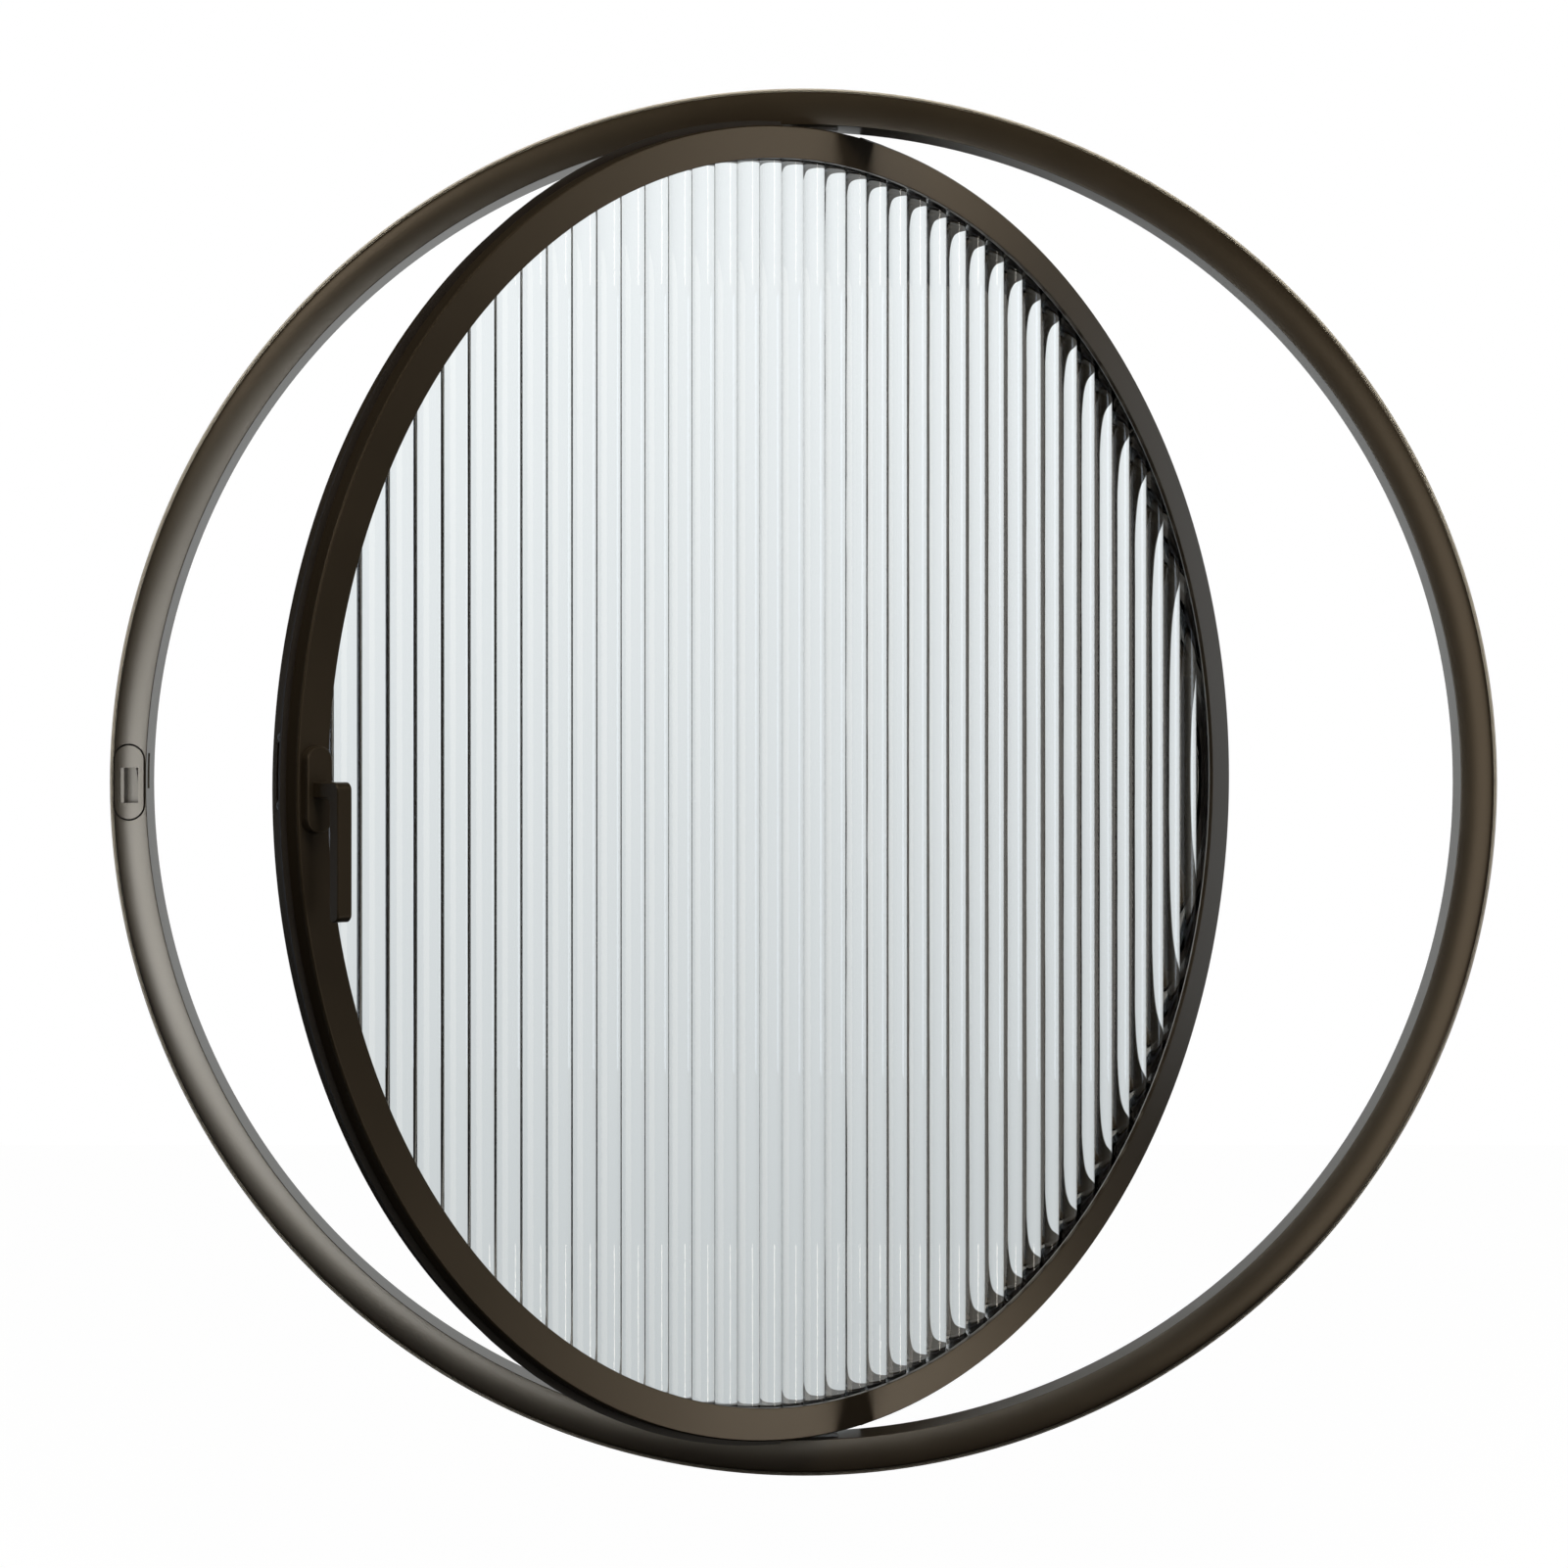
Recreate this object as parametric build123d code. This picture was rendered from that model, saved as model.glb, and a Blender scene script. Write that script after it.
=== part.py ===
from build123d import *
import math
import os

os.makedirs("parts", exist_ok=True)

# Round centre-pivot window. Millimetres, +Z up, the room on the -Y side.
# The origin is the centre of the wall opening, on the wall's face.

# Outer frame, a bent hollow ring
frame_radius = 600.0
face_width = 29.0
face_edge_stand = 5.0
crown_height = 2.0
crown_slope = 8.0
flange_thickness = 3.0
flange_lap = 6.0
frame_back = 30.0
frame_wall = 2.0
face_wall = 3.5
overcut = 5.0

# Sealing ring between flange and wall
seal_overhang = 3.4
seal_groove = 0.6
wall_seal_fit = 0.05
seal_relief = 0.3

# Sash ring, its depths counted from the sash's room face
sash_gap = 6.0
sash_face = 28.0
sash_depth = 32.0
sash_wall = 2.0
rim_wall = 3.0
web_wall = 1.5
lip_thickness = 4.0
rim_chamfer = 1.2

# Glass and glazing
glass_cover = 5.0
glass_edge_gap = 2.0
glass_base = 5.5
flute_height = 4.5
flute_pitch = 26.2
front_gasket = 2.0
rear_gasket = 2.0
gasket_inset = 1.0
glazing_fit = 0.05
bead_chamfer = 3.0
block_angle = 24.0
block_span = 10.0

# Draught seal, a strip round the sash's rim
seal_from_back = 16.8
seal_width = 2.0
seal_reach_gap = 0.5
seal_end_angle = 5.0
seal_fit = 0.05

# Pivots at top and bottom
pivot_depth = 19.0
pin_radius = 4.0
pin_setback = 0.5
running_fit = 0.05
press_fit = 0.01
bush_wall = 1.45
socket_wall = 2.5
collar_gap = 2.0
washer_gap = 0.1
pin_in_socket = 17.0
socket_floor = 2.0
socket_plate = 2.6
socket_plate_length = 60.0
socket_plate_front = 4.0
socket_plate_back = 28.5
shoe_top_gap = 1.0
shoe_plate = 7.0
shoe_half_width = 22.0
shoe_inset = 13.8
shoe_boss_drop = 8.0
shoe_edge = 5.0
shoe_fit = 0.2
stop_radius = 13.0
stop_pin_radius = 2.0
stop_slot_fit = 0.4
stop_slot_depth = 4.0
stop_engagement = 2.5
washer_fit = 0.2
pin_end_gap = 1.0
bush_end_gap = 0.2
pin_chamfer = 0.8
socket_plate_fit = 0.025
shoe_foot_inset = 2.0
shoe_foot_gap = 0.1
sash_swing = 90.0
rest_opening = 45.0

# Handle on the sash's room face
cover_chamfer = 0.8
spindle_from_rim = 15.0
handle_height = 0.5
cover_length = 65.0
cover_width = 22.8
cover_height = 8.0
cover_wall = 1.4
base_plate = 2.5
lever_width = 13.0
lever_neck = 12.0
lever_drop = 97.0
lever_front = 38.5
lever_grip = 10.5
lever_corner = 6.0
lever_throat = 6.0
lever_toe = 6.0
lever_heel = 4.0
lever_round = 1.6
lever_gap = 0.3
spindle_square = 5.6
grub_setback = 8.0
grub_radius = 2.0
grub_end_gap = 0.3
grub_seat_gap = 0.05
base_plate_fit = 0.2
base_collar_wall = 1.6
base_collar_fit = 0.1
spindle_hole_gap = 0.6
spindle_end_gap = 2.0
square_fit = 0.05

# Latch: a cam on the spindle, in a case in the sash's rim
latch_from_back = 9.0
cam_thickness = 4.0
cam_half_width = 4.0
cam_engagement = 10.0
cam_side_gap = 1.2
case_wall = 1.2
case_plate = 1.5
case_end_margin = 4.0
case_lug = 8.0
case_fit = 0.2

# Strike in the frame's face
strike_plate_length = 64.6
strike_plate_width = 25.6
strike_plate_fit = 0.4
strike_window_top = 12.3
strike_window_bottom = -17.6
strike_plate_edge = 1.0
strike_flange = 1.0
strike_box_wall = 1.2
strike_box_side = 1.0
strike_box_gap = 0.6
strike_box_sill = 1.0
strike_hole_fit = 0.3
cam_clearance = 2.0

# Fixing straps
strap_count = 6
strap_width = 30.0
strap_length = 45.0
strap_thickness = 1.8
strap_rebate_length = 11.0
strap_fit = 0.05
strap_sink = 0.25
strap_end_gap = 0.2
strap_corner = 6.0
strap_slot_setback = 10.0
strap_slot_length = 12.0
strap_slot_width = 5.5

# Radii and depths that follow from the sizes above
barrel_radius = frame_radius - flange_lap
reveal_radius = frame_radius - face_width
rebate_radius = barrel_radius - strap_thickness - 2 * strap_fit - strap_sink
flange_back = flange_thickness - face_edge_stand
rebate_front = frame_back - strap_rebate_length
chamber_front = face_wall - face_edge_stand
sash_radius = reveal_radius - sash_gap
sash_inner = sash_radius - sash_face
glass_radius = sash_inner + glass_cover
web_radius = glass_radius + glass_edge_gap
chamber_inner = web_radius + web_wall
chamber_outer = sash_radius - rim_wall
sash_back = pivot_depth - pin_radius - pin_setback
sash_front = sash_back - sash_depth
glass_crest = sash_front + lip_thickness + front_gasket
glass_back = glass_crest + flute_height + glass_base
bead_front = glass_back + rear_gasket
seal_depth = sash_back - seal_from_back
latch_depth = sash_back - latch_from_back
shoe_top = sash_radius - shoe_top_gap
shoe_under = shoe_top - shoe_plate
shoe_front = sash_back - shoe_inset
collar_end = shoe_top + collar_gap
pin_top = collar_end + pin_in_socket
bush_radius = pin_radius + running_fit + bush_wall
socket_radius = bush_radius + socket_wall
spindle_radius = sash_radius - spindle_from_rim
spindle_shaft = math.ceil(spindle_square * math.sqrt(2) / 2 * 10) / 10
cam_tip = reveal_radius + cam_engagement
cam_reach = cam_tip - spindle_radius
cam_front = latch_depth - cam_thickness / 2
case_half = cam_thickness / 2 + cam_side_gap + case_wall
pivot_axis = Axis((0, pivot_depth, 0), (0, 0, 1))


def block(x, y, z):
    """Box between the low and high values of each axis."""
    size = [high - low for low, high in (x, y, z)]
    middle = [(low + high) / 2 for low, high in (x, y, z)]
    return Pos(*middle) * Box(*size)


def rod(centre, low, high, radius):
    """Upright cylinder at an (x, y) centre."""
    upright = Cylinder(radius, high - low, align=(Align.CENTER, Align.CENTER, Align.MIN))
    return Pos(centre[0], centre[1], low) * upright


def tube(centre, low, high, inner, outer):
    """Upright hollow cylinder at an (x, y) centre."""
    return rod(centre, low, high, outer) - rod(centre, low, high, inner)


def depth_rod(centre, low, high, radius):
    """Cylinder along Y at an (x, z) centre."""
    return face_prism(Pos(*centre) * Circle(radius), low, high)


def face_prism(sketch, low, high):
    """Extrusion along Y of a sketch drawn as the room sees it, x across and z up."""
    plane = Plane(origin=(0, high, 0), x_dir=(1, 0, 0), z_dir=(0, -1, 0))
    return extrude(plane * sketch, high - low)


def outline(points):
    """Closed flat face through (radius, depth) points."""
    return make_face(Polyline(*points, close=True))


def ring(profile):
    """Solid of revolution of a (radius, depth) face about the window's axis."""
    return revolve(profile, Axis.Y, 360)


def flat_ring(inner, outer, low, high):
    """Ring of rectangular section."""
    return ring(outline([(inner, low), (outer, low), (outer, high), (inner, high)]))


def around(shape, angle):
    """Copy turned about the window's axis, from the top towards the right."""
    return shape.rotate(Axis.Y, angle)


def lower(shape):
    """Mirror image below the window's centre."""
    return mirror(shape, about=Plane.XY)


def opened(shape):
    """Shape of the closed sash, turned about the pivots to its place at rest."""
    return shape.rotate(pivot_axis, rest_opening)


def toward(point, direction, shape):
    """Shape made along +Z, set at a point and aimed along a direction."""
    return Plane(origin=point, z_dir=direction) * shape


# Places that neighbouring pieces share
socket_plate_radius = reveal_radius - socket_plate
strap_angles = [90 + 360 / strap_count * index for index in range(strap_count)]
strap_front = rebate_front + strap_end_gap
strap_face = rebate_radius + strap_fit + strap_thickness
case_low = handle_height - cam_half_width - case_end_margin
case_high = handle_height + cam_reach + case_end_margin
stop_point = (
    stop_radius * math.cos(math.radians(sash_swing / 2)),
    pivot_depth - stop_radius * math.sin(math.radians(sash_swing / 2)),
)
strike_middle = -(reveal_radius + frame_radius) / 2
strike_box_outer = -(barrel_radius - frame_wall - strike_box_gap)
strike_box_inner = -(reveal_radius + frame_wall + strike_box_side)
strike_box_bottom = strike_window_bottom - strike_box_sill
strike_box_back = latch_depth + cam_thickness / 2 + 2 * cam_clearance
strike_plate_seat = strike_plate_edge - face_edge_stand
strike_ledge_depth = strike_plate_seat + strike_flange
cam_slot_depths = (cam_front - cam_clearance, cam_front + cam_thickness + cam_clearance)
cam_slot_low = handle_height - cam_half_width - cam_clearance
cam_entry_height = math.sqrt(cam_reach**2 - (reveal_radius - spindle_radius) ** 2)
cam_slot_high = handle_height + cam_entry_height + cam_clearance
strike_box_top = cam_slot_high + strike_box_wall


def frame_outline():
    """Outer line of the frame's section: bevelled face, flange, seal groove, barrel, rebate."""
    crest = -face_edge_stand - crown_height
    return outline(
        [
            (reveal_radius, -face_edge_stand),
            (reveal_radius + crown_slope, crest),
            (frame_radius - crown_slope, crest),
            (frame_radius, -face_edge_stand),
            (frame_radius, flange_back),
            (barrel_radius - seal_groove, flange_back),
            (barrel_radius - seal_groove, 0),
            (barrel_radius, 0),
            (barrel_radius, rebate_front),
            (rebate_radius, rebate_front),
            (rebate_radius, frame_back),
            (reveal_radius, frame_back),
        ]
    )


def frame_chamber():
    """Hollow of the frame's section."""
    inner = reveal_radius + frame_wall
    outer = rebate_radius - frame_wall
    back = frame_back - frame_wall
    return outline([(inner, chamber_front), (outer, chamber_front), (outer, back), (inner, back)])


def obround(length, width):
    """Upright round-ended plate outline."""
    return SlotOverall(length, width, rotation=90)


def strike_opening():
    """Recess for the strike plate, the hole for its box and the cam's slot."""
    recess = face_prism(
        Pos(strike_middle, 0)
        * obround(
            strike_plate_length + 2 * strike_plate_fit,
            strike_plate_width + 2 * strike_plate_fit,
        ),
        -face_edge_stand - 2 * crown_height,
        strike_ledge_depth,
    )
    hole = block(
        (strike_box_outer - strike_hole_fit, strike_box_inner + strike_hole_fit),
        (-face_edge_stand, strike_box_back),
        (
            strike_box_bottom - strike_box_wall - strike_hole_fit,
            strike_box_top + strike_box_wall + strike_hole_fit,
        ),
    )
    slot = block(
        (-reveal_radius - 2 * frame_wall, -reveal_radius + overcut),
        cam_slot_depths,
        (cam_slot_low, cam_slot_high),
    )
    return recess + hole + slot


def make_outer_frame():
    """The frame ring with every hole that its hardware needs."""
    body = ring(frame_outline()) - ring(frame_chamber())
    socket_hole = rod(
        (0, pivot_depth), reveal_radius - overcut, reveal_radius + 2 * frame_wall,
        socket_radius + press_fit,
    )
    body -= [socket_hole, lower(socket_hole)]
    body -= rod(
        stop_point, reveal_radius - overcut, reveal_radius + 2 * frame_wall,
        stop_pin_radius + press_fit,
    )
    return body - strike_opening()


def make_wall_seal():
    """Cream ring in the frame's groove, squeezed between the flange and the wall."""
    foot = barrel_radius - seal_groove + wall_seal_fit
    lip = frame_radius + seal_overhang
    section = [
        (foot, flange_back),
        (lip, flange_back),
        (lip, 0),
        (barrel_radius + seal_relief, 0),
    ]
    return ring(outline(section))


def make_strike_plate():
    """Plate cut from the frame's own face form, with the latch window."""
    window_height = strike_window_top - strike_window_bottom
    window_width = strike_box_inner - strike_box_outer - 2 * strike_box_wall
    window_middle = (strike_box_inner + strike_box_outer) / 2
    prism = face_prism(
        Pos(strike_middle, 0) * obround(strike_plate_length, strike_plate_width),
        -face_edge_stand - 2 * crown_height,
        strike_plate_seat,
    )
    bevelled = extrude(frame_outline(), strike_plate_length, both=True)
    window = face_prism(
        Pos(window_middle, (strike_window_top + strike_window_bottom) / 2)
        * Rectangle(window_width, window_height),
        -face_edge_stand - 3 * crown_height,
        0,
    )
    return (mirror(bevelled, about=Plane.YZ) & prism) - window


def make_strike_box():
    """Folded box behind the plate, with a flange in front and the cam's slot inwards."""
    outer = block(
        (strike_box_outer, strike_box_inner),
        (strike_plate_seat, strike_box_back),
        (strike_box_bottom - strike_box_wall, strike_box_top + strike_box_wall),
    )
    inner = block(
        (strike_box_outer + strike_box_wall, strike_box_inner - strike_box_wall),
        (strike_plate_seat - overcut, strike_box_back - strike_box_wall),
        (strike_box_bottom, strike_box_top),
    )
    flange = face_prism(
        Pos(strike_middle, 0)
        * obround(
            strike_plate_length - 2 * strike_flange, strike_plate_width - strike_plate_fit
        ),
        strike_plate_seat,
        strike_ledge_depth,
    )
    slot = block(
        (strike_box_inner - 2 * strike_box_wall, strike_box_inner + overcut),
        cam_slot_depths,
        (cam_slot_low, cam_slot_high),
    )
    return outer + flange - inner - slot


def make_socket(with_stop):
    """Pivot socket: curved plate on the reveal, barrel into the frame, collar below."""
    plate = flat_ring(
        socket_plate_radius,
        reveal_radius - socket_plate_fit,
        socket_plate_front,
        socket_plate_back,
    ) & block(
        (-socket_plate_length / 2, socket_plate_length / 2),
        (socket_plate_front, socket_plate_back),
        (reveal_radius / 2, reveal_radius),
    )
    floor = pin_top + pin_end_gap
    barrel = rod((0, pivot_depth), collar_end, floor + socket_floor, socket_radius)
    bore = rod((0, pivot_depth), collar_end - overcut, floor, bush_radius + press_fit)
    socket = plate + barrel - bore
    if with_stop:
        socket -= rod(
            stop_point, socket_plate_radius - overcut, reveal_radius + frame_wall,
            stop_pin_radius + press_fit,
        )
    return socket


def make_bush():
    """Plain bush in the socket."""
    return tube(
        (0, pivot_depth), collar_end, pin_top + pin_end_gap - bush_end_gap,
        pin_radius + running_fit, bush_radius,
    )


def make_washer():
    """Thrust washer that carries the sash's weight on the lower socket's collar."""
    return tube(
        (0, pivot_depth), shoe_top + washer_gap, collar_end,
        pin_radius + running_fit + washer_fit, socket_radius,
    )


def make_stop_pin():
    """Pin in the upper socket whose tip runs in the shoe's arc slot."""
    return rod(
        stop_point, shoe_top - stop_engagement, reveal_radius + frame_wall, stop_pin_radius
    )


def make_strap():
    """Flat fixing strap at the frame's top, seated in the rear rebate."""
    plate = block(
        (-strap_width / 2, strap_width / 2),
        (strap_front, strap_front + strap_length),
        (rebate_radius + strap_fit, strap_face),
    )
    far_end = plate.edges().filter_by(Axis.Z).group_by(Axis.Y)[-1]
    plate = chamfer(far_end, strap_corner)
    slot_y = strap_front + strap_length - strap_slot_setback
    slot = extrude(
        Plane.XY.offset(rebate_radius)
        * Pos(0, slot_y)
        * SlotOverall(strap_slot_length, strap_slot_width),
        2 * strap_thickness,
    )
    return plate - slot


def sash_outline():
    """Outer line of the sash's section, with the glass rebate."""
    lip_back = sash_front + lip_thickness
    return outline(
        [
            (sash_inner, sash_front),
            (sash_radius - rim_chamfer, sash_front),
            (sash_radius, sash_front + rim_chamfer),
            (sash_radius, sash_back),
            (web_radius, sash_back),
            (web_radius, lip_back),
            (sash_inner, lip_back),
        ]
    )


def sash_chamber():
    """Hollow of the sash's section."""
    front = sash_front + sash_wall
    back = sash_back - sash_wall
    return outline(
        [(chamber_inner, front), (chamber_outer, front), (chamber_outer, back), (chamber_inner, back)]
    )


def shoe_pocket():
    """Cut in the sash's rim that takes the upper pivot shoe."""
    half = shoe_half_width + shoe_fit
    return block(
        (-half, half),
        (shoe_front - shoe_fit, sash_back + overcut),
        (shoe_under, sash_radius + overcut),
    )


def case_span(margin):
    """Low and high depth of the latch case, with a margin on each side."""
    return (latch_depth - case_half - margin, latch_depth + case_half + margin)


def latch_cut():
    """Opening in the rim for the latch case, and the seat of its face plate."""
    through = block(
        (-sash_radius - overcut, -chamber_inner - cam_half_width),
        case_span(case_fit),
        (case_low - case_wall - case_fit, case_high + case_wall + case_fit),
    )
    seat = flat_ring(
        sash_radius - case_plate, sash_radius + overcut, *case_span(case_fit)
    ) & block(
        (-sash_radius - overcut, 0),
        case_span(case_fit),
        (case_low - case_lug - case_fit, case_high + case_lug + case_fit),
    )
    return through + seat


def make_sash_frame():
    """The sash ring in its closed place, with every hole that its hardware needs."""
    body = ring(sash_outline()) - ring(sash_chamber())
    pocket = shoe_pocket()
    body -= [pocket, lower(pocket)]
    body -= latch_cut()
    return body - depth_rod(
        (-spindle_radius, handle_height), sash_front - overcut, sash_front + 2 * sash_wall,
        spindle_shaft + spindle_hole_gap,
    )


def make_glass():
    """Glass disc with upright convex flutes on the room side and a flat back."""
    flutes = 2 * math.ceil(glass_radius / flute_pitch)
    first = -flutes / 2 * flute_pitch
    valley = glass_crest + flute_height
    line = Curve()
    for index in range(flutes):
        left = first + index * flute_pitch
        line += ThreePointArc(
            (left, valley), (left + flute_pitch / 2, glass_crest), (left + flute_pitch, valley)
        )
    line += Polyline((-first, valley), (-first, glass_back), (first, glass_back), (first, valley))
    sheet = extrude(make_face(line), glass_radius + overcut, both=True)
    return sheet & flat_disc(glass_radius, glass_crest - overcut, glass_back + overcut)


def flat_disc(radius, low, high):
    """Disc about the window's axis."""
    return face_prism(Circle(radius), low, high)


def make_front_gasket():
    """Gasket between the sash's lip and the crests of the flutes."""
    return flat_ring(
        sash_inner + gasket_inset,
        web_radius - glazing_fit,
        sash_front + lip_thickness,
        glass_crest - glazing_fit,
    )


def make_rear_gasket():
    """Gasket between the glass's flat back and the bead."""
    return flat_ring(
        sash_inner + gasket_inset, web_radius - glazing_fit, glass_back, bead_front
    )


def make_bead():
    """Snap-in glazing bead, flush with the sash's back, with a chamfer towards the glass."""
    return ring(
        outline(
            [
                (sash_inner, bead_front),
                (web_radius - glazing_fit, bead_front),
                (web_radius - glazing_fit, sash_back),
                (sash_inner + bead_chamfer, sash_back),
                (sash_inner, sash_back - bead_chamfer),
            ]
        )
    )


def make_setting_blocks():
    """Blocks that carry the glass's edge, left and right of the lowest point."""
    band = flat_ring(
        glass_radius + glazing_fit, web_radius - glazing_fit, glass_crest + flute_height, glass_back
    )
    half = math.radians(block_span / 2) * glass_radius
    window = block((-half, half), (glass_crest, glass_back), (-web_radius, 0))
    return [band & around(window, side * block_angle) for side in (-1, 1)]


def make_sash_seals():
    """Seal strips round the rim: a left and a right half that end beside the pivots."""
    foot = sash_radius + seal_fit
    tip = reveal_radius - seal_reach_gap
    front = seal_depth - seal_width / 2
    back = seal_depth + seal_width / 2
    profile = outline([(foot, front), (tip, front), (tip, back), (foot, back)])
    half = revolve(
        profile.rotate(Axis.Y, seal_end_angle - 90), Axis.Y, 180 - 2 * seal_end_angle
    )
    return [half, half.rotate(Axis.Y, 180)]


def make_shoe(with_stop):
    """Pivot shoe: plate let into the rim, foot in the hollow, boss round the pin."""
    plate_outline = make_hull(
        (
            Pos(0, (shoe_front + sash_back) / 2)
            * Rectangle(2 * shoe_half_width, sash_back - shoe_front)
            + Pos(0, pivot_depth) * Circle(pin_radius + shoe_edge)
        ).edges()
    )
    plate = extrude(Plane.XY.offset(shoe_under) * plate_outline, shoe_plate)
    foot = block(
        (shoe_foot_inset - shoe_half_width, shoe_half_width - shoe_foot_inset),
        (shoe_front, sash_back - sash_wall - shoe_fit),
        (chamber_inner + shoe_foot_gap, shoe_under),
    )
    boss = rod(
        (0, pivot_depth), shoe_under - shoe_boss_drop, shoe_under, pin_radius + shoe_edge
    )
    boss -= block(
        (-shoe_half_width, shoe_half_width),
        (shoe_front, sash_back + shoe_fit),
        (chamber_inner, shoe_under),
    )
    shoe = plate + foot + boss
    shoe -= rod((0, pivot_depth), chamber_inner, shoe_top + overcut, pin_radius + press_fit)
    if with_stop:
        path = CenterArc((0, 0), stop_radius, -90 - sash_swing / 2, sash_swing)
        slot = SlotArc(path, 2 * (stop_pin_radius + stop_slot_fit))
        shoe -= extrude(
            Plane.XY.offset(shoe_top - stop_slot_depth) * Pos(0, pivot_depth) * slot,
            stop_slot_depth + overcut,
        )
    return shoe


def make_pin():
    """Pivot pin, pressed in the shoe and running in the bush."""
    low = shoe_under - shoe_boss_drop
    pin = rod((0, pivot_depth), low, pin_top, pin_radius)
    return chamfer(pin.edges().group_by(Axis.Z)[-1], pin_chamfer)


def make_latch_case():
    """Case in the rim that guides the cam, with its curved face plate."""
    outer = block(
        (-chamber_outer, -spindle_radius + cam_half_width),
        case_span(0),
        (case_low - case_wall, case_high + case_wall),
    )
    inner = block(
        (-sash_radius - overcut, -spindle_radius + cam_half_width + overcut),
        case_span(-case_wall),
        (case_low, case_high),
    )
    plate = flat_ring(
        sash_radius - case_plate, sash_radius, *case_span(0)
    ) & block(
        (-sash_radius, 0), case_span(0), (case_low - case_lug, case_high + case_lug)
    )
    neck = block(
        (-sash_radius + case_plate / 2, -chamber_outer + case_wall),
        case_span(0),
        (case_low - case_wall, case_high + case_wall),
    ) & flat_disc(sash_radius, *case_span(0))
    case = outer + plate + neck - inner
    return case - depth_rod(
        (-spindle_radius, handle_height), *case_span(overcut), spindle_shaft + running_fit
    )


def make_latch_spindle():
    """Round spindle, square in the lever's neck, with the cam's arm at its end."""
    root = sash_front - cover_height - lever_gap
    shaft = depth_rod(
        (-spindle_radius, handle_height), root, case_span(0)[1], spindle_shaft
    )
    tail = face_prism(
        Pos(-spindle_radius, handle_height) * Rectangle(spindle_square, spindle_square),
        sash_front - lever_front + lever_grip + spindle_end_gap,
        root,
    )
    arm_length = cam_reach - cam_half_width
    arm = face_prism(
        Pos(-spindle_radius, handle_height + arm_length / 2)
        * SlotOverall(arm_length + 2 * cam_half_width, 2 * cam_half_width, rotation=90),
        cam_front,
        cam_front + cam_thickness,
    )
    return shaft + tail + arm


def make_base_plate():
    """Plate under the cover, with the spindle's bearing collar."""
    middle = Pos(-spindle_radius, handle_height)
    inner_length = cover_length - 2 * (cover_wall + base_plate_fit)
    inner_width = cover_width - 2 * (cover_wall + base_plate_fit)
    plate = face_prism(
        middle * obround(inner_length, inner_width), sash_front - base_plate, sash_front
    )
    collar = face_prism(
        middle * Circle(spindle_shaft + base_collar_wall), sash_front - cover_height, sash_front
    )
    bore = face_prism(
        middle * Circle(spindle_shaft + running_fit),
        sash_front - cover_height - overcut,
        sash_front + overcut,
    )
    return plate + collar - bore


def make_cover():
    """Round-ended cover, a shell open to the sash, with a hole for the collar."""
    middle = Pos(-spindle_radius, handle_height)
    outer = face_prism(
        middle * obround(cover_length, cover_width), sash_front - cover_height, sash_front
    )
    outer = chamfer(outer.faces().sort_by(Axis.Y)[0].edges(), cover_chamfer)
    inner = face_prism(
        middle * obround(cover_length - 2 * cover_wall, cover_width - 2 * cover_wall),
        sash_front - cover_height + cover_wall,
        sash_front + overcut,
    )
    hole = face_prism(
        middle * Circle(spindle_shaft + base_collar_wall + base_collar_fit),
        sash_front - cover_height - overcut,
        sash_front,
    )
    return outer - inner - hole


def make_lever():
    """Seven-shaped lever: neck out from the cover, grip straight down."""
    near = cover_height + lever_gap
    inner = lever_front - lever_grip
    half = lever_neck / 2
    side = make_face(
        Polyline(
            (near, half),
            (lever_front, half),
            (lever_front, -lever_drop),
            (inner, -lever_drop),
            (inner, -half),
            (near, -half),
            close=True,
        )
    )
    corner = side.vertices().sort_by_distance((lever_front, half))[0]
    side = fillet(corner, lever_corner)
    throat = side.vertices().sort_by_distance((inner, -half))[0]
    side = fillet(throat, lever_throat)
    toe = side.vertices().sort_by_distance((lever_front, -lever_drop))[0]
    side = fillet(toe, lever_toe)
    heel = side.vertices().sort_by_distance((inner, -lever_drop))[0]
    side = fillet(heel, lever_heel)
    plane = Plane(
        origin=(-spindle_radius - lever_width / 2, sash_front, handle_height),
        x_dir=(0, -1, 0),
        z_dir=(1, 0, 0),
    )
    lever = extrude(plane * mirror(side, about=Plane.XZ), lever_width)
    front_edges = (
        lever.faces().sort_by(Axis.X)[0].edges() + lever.faces().sort_by(Axis.X)[-1].edges()
    )
    seat = sash_front - near
    long_edges = [
        edge for edge in front_edges if edge.bounding_box().max.Y < seat - lever_gap
    ]
    lever = chamfer(long_edges, lever_round / 2)
    socket = face_prism(
        Pos(-spindle_radius, handle_height)
        * Rectangle(spindle_square + 2 * square_fit, spindle_square + 2 * square_fit),
        sash_front - lever_front + lever_grip,
        sash_front,
    )
    grub = toward(grub_point(), (0, 0, 1), Cylinder(grub_radius + press_fit, 2 * lever_neck))
    upper = block(
        (-sash_radius, -sash_inner),
        (sash_front - lever_front, sash_front),
        (handle_height - lever_neck, handle_height - spindle_square / 2),
    )
    return lever - socket - (grub & upper)


def grub_point():
    """Middle of the grub screw's seat, under the lever's neck."""
    return (
        -spindle_radius,
        sash_front - cover_height - lever_gap - grub_setback,
        handle_height - spindle_square / 2,
    )


def make_grub_screw():
    """Headless screw that holds the lever on the spindle's square."""
    x, y, top = grub_point()
    length = (lever_neck - spindle_square) / 2 - grub_end_gap
    return rod((x, y), top - grub_seat_gap - length, top - grub_seat_gap, grub_radius)


upper_socket = make_socket(True)
lower_socket = lower(make_socket(False))
bush = make_bush()
pin = make_pin()

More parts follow.
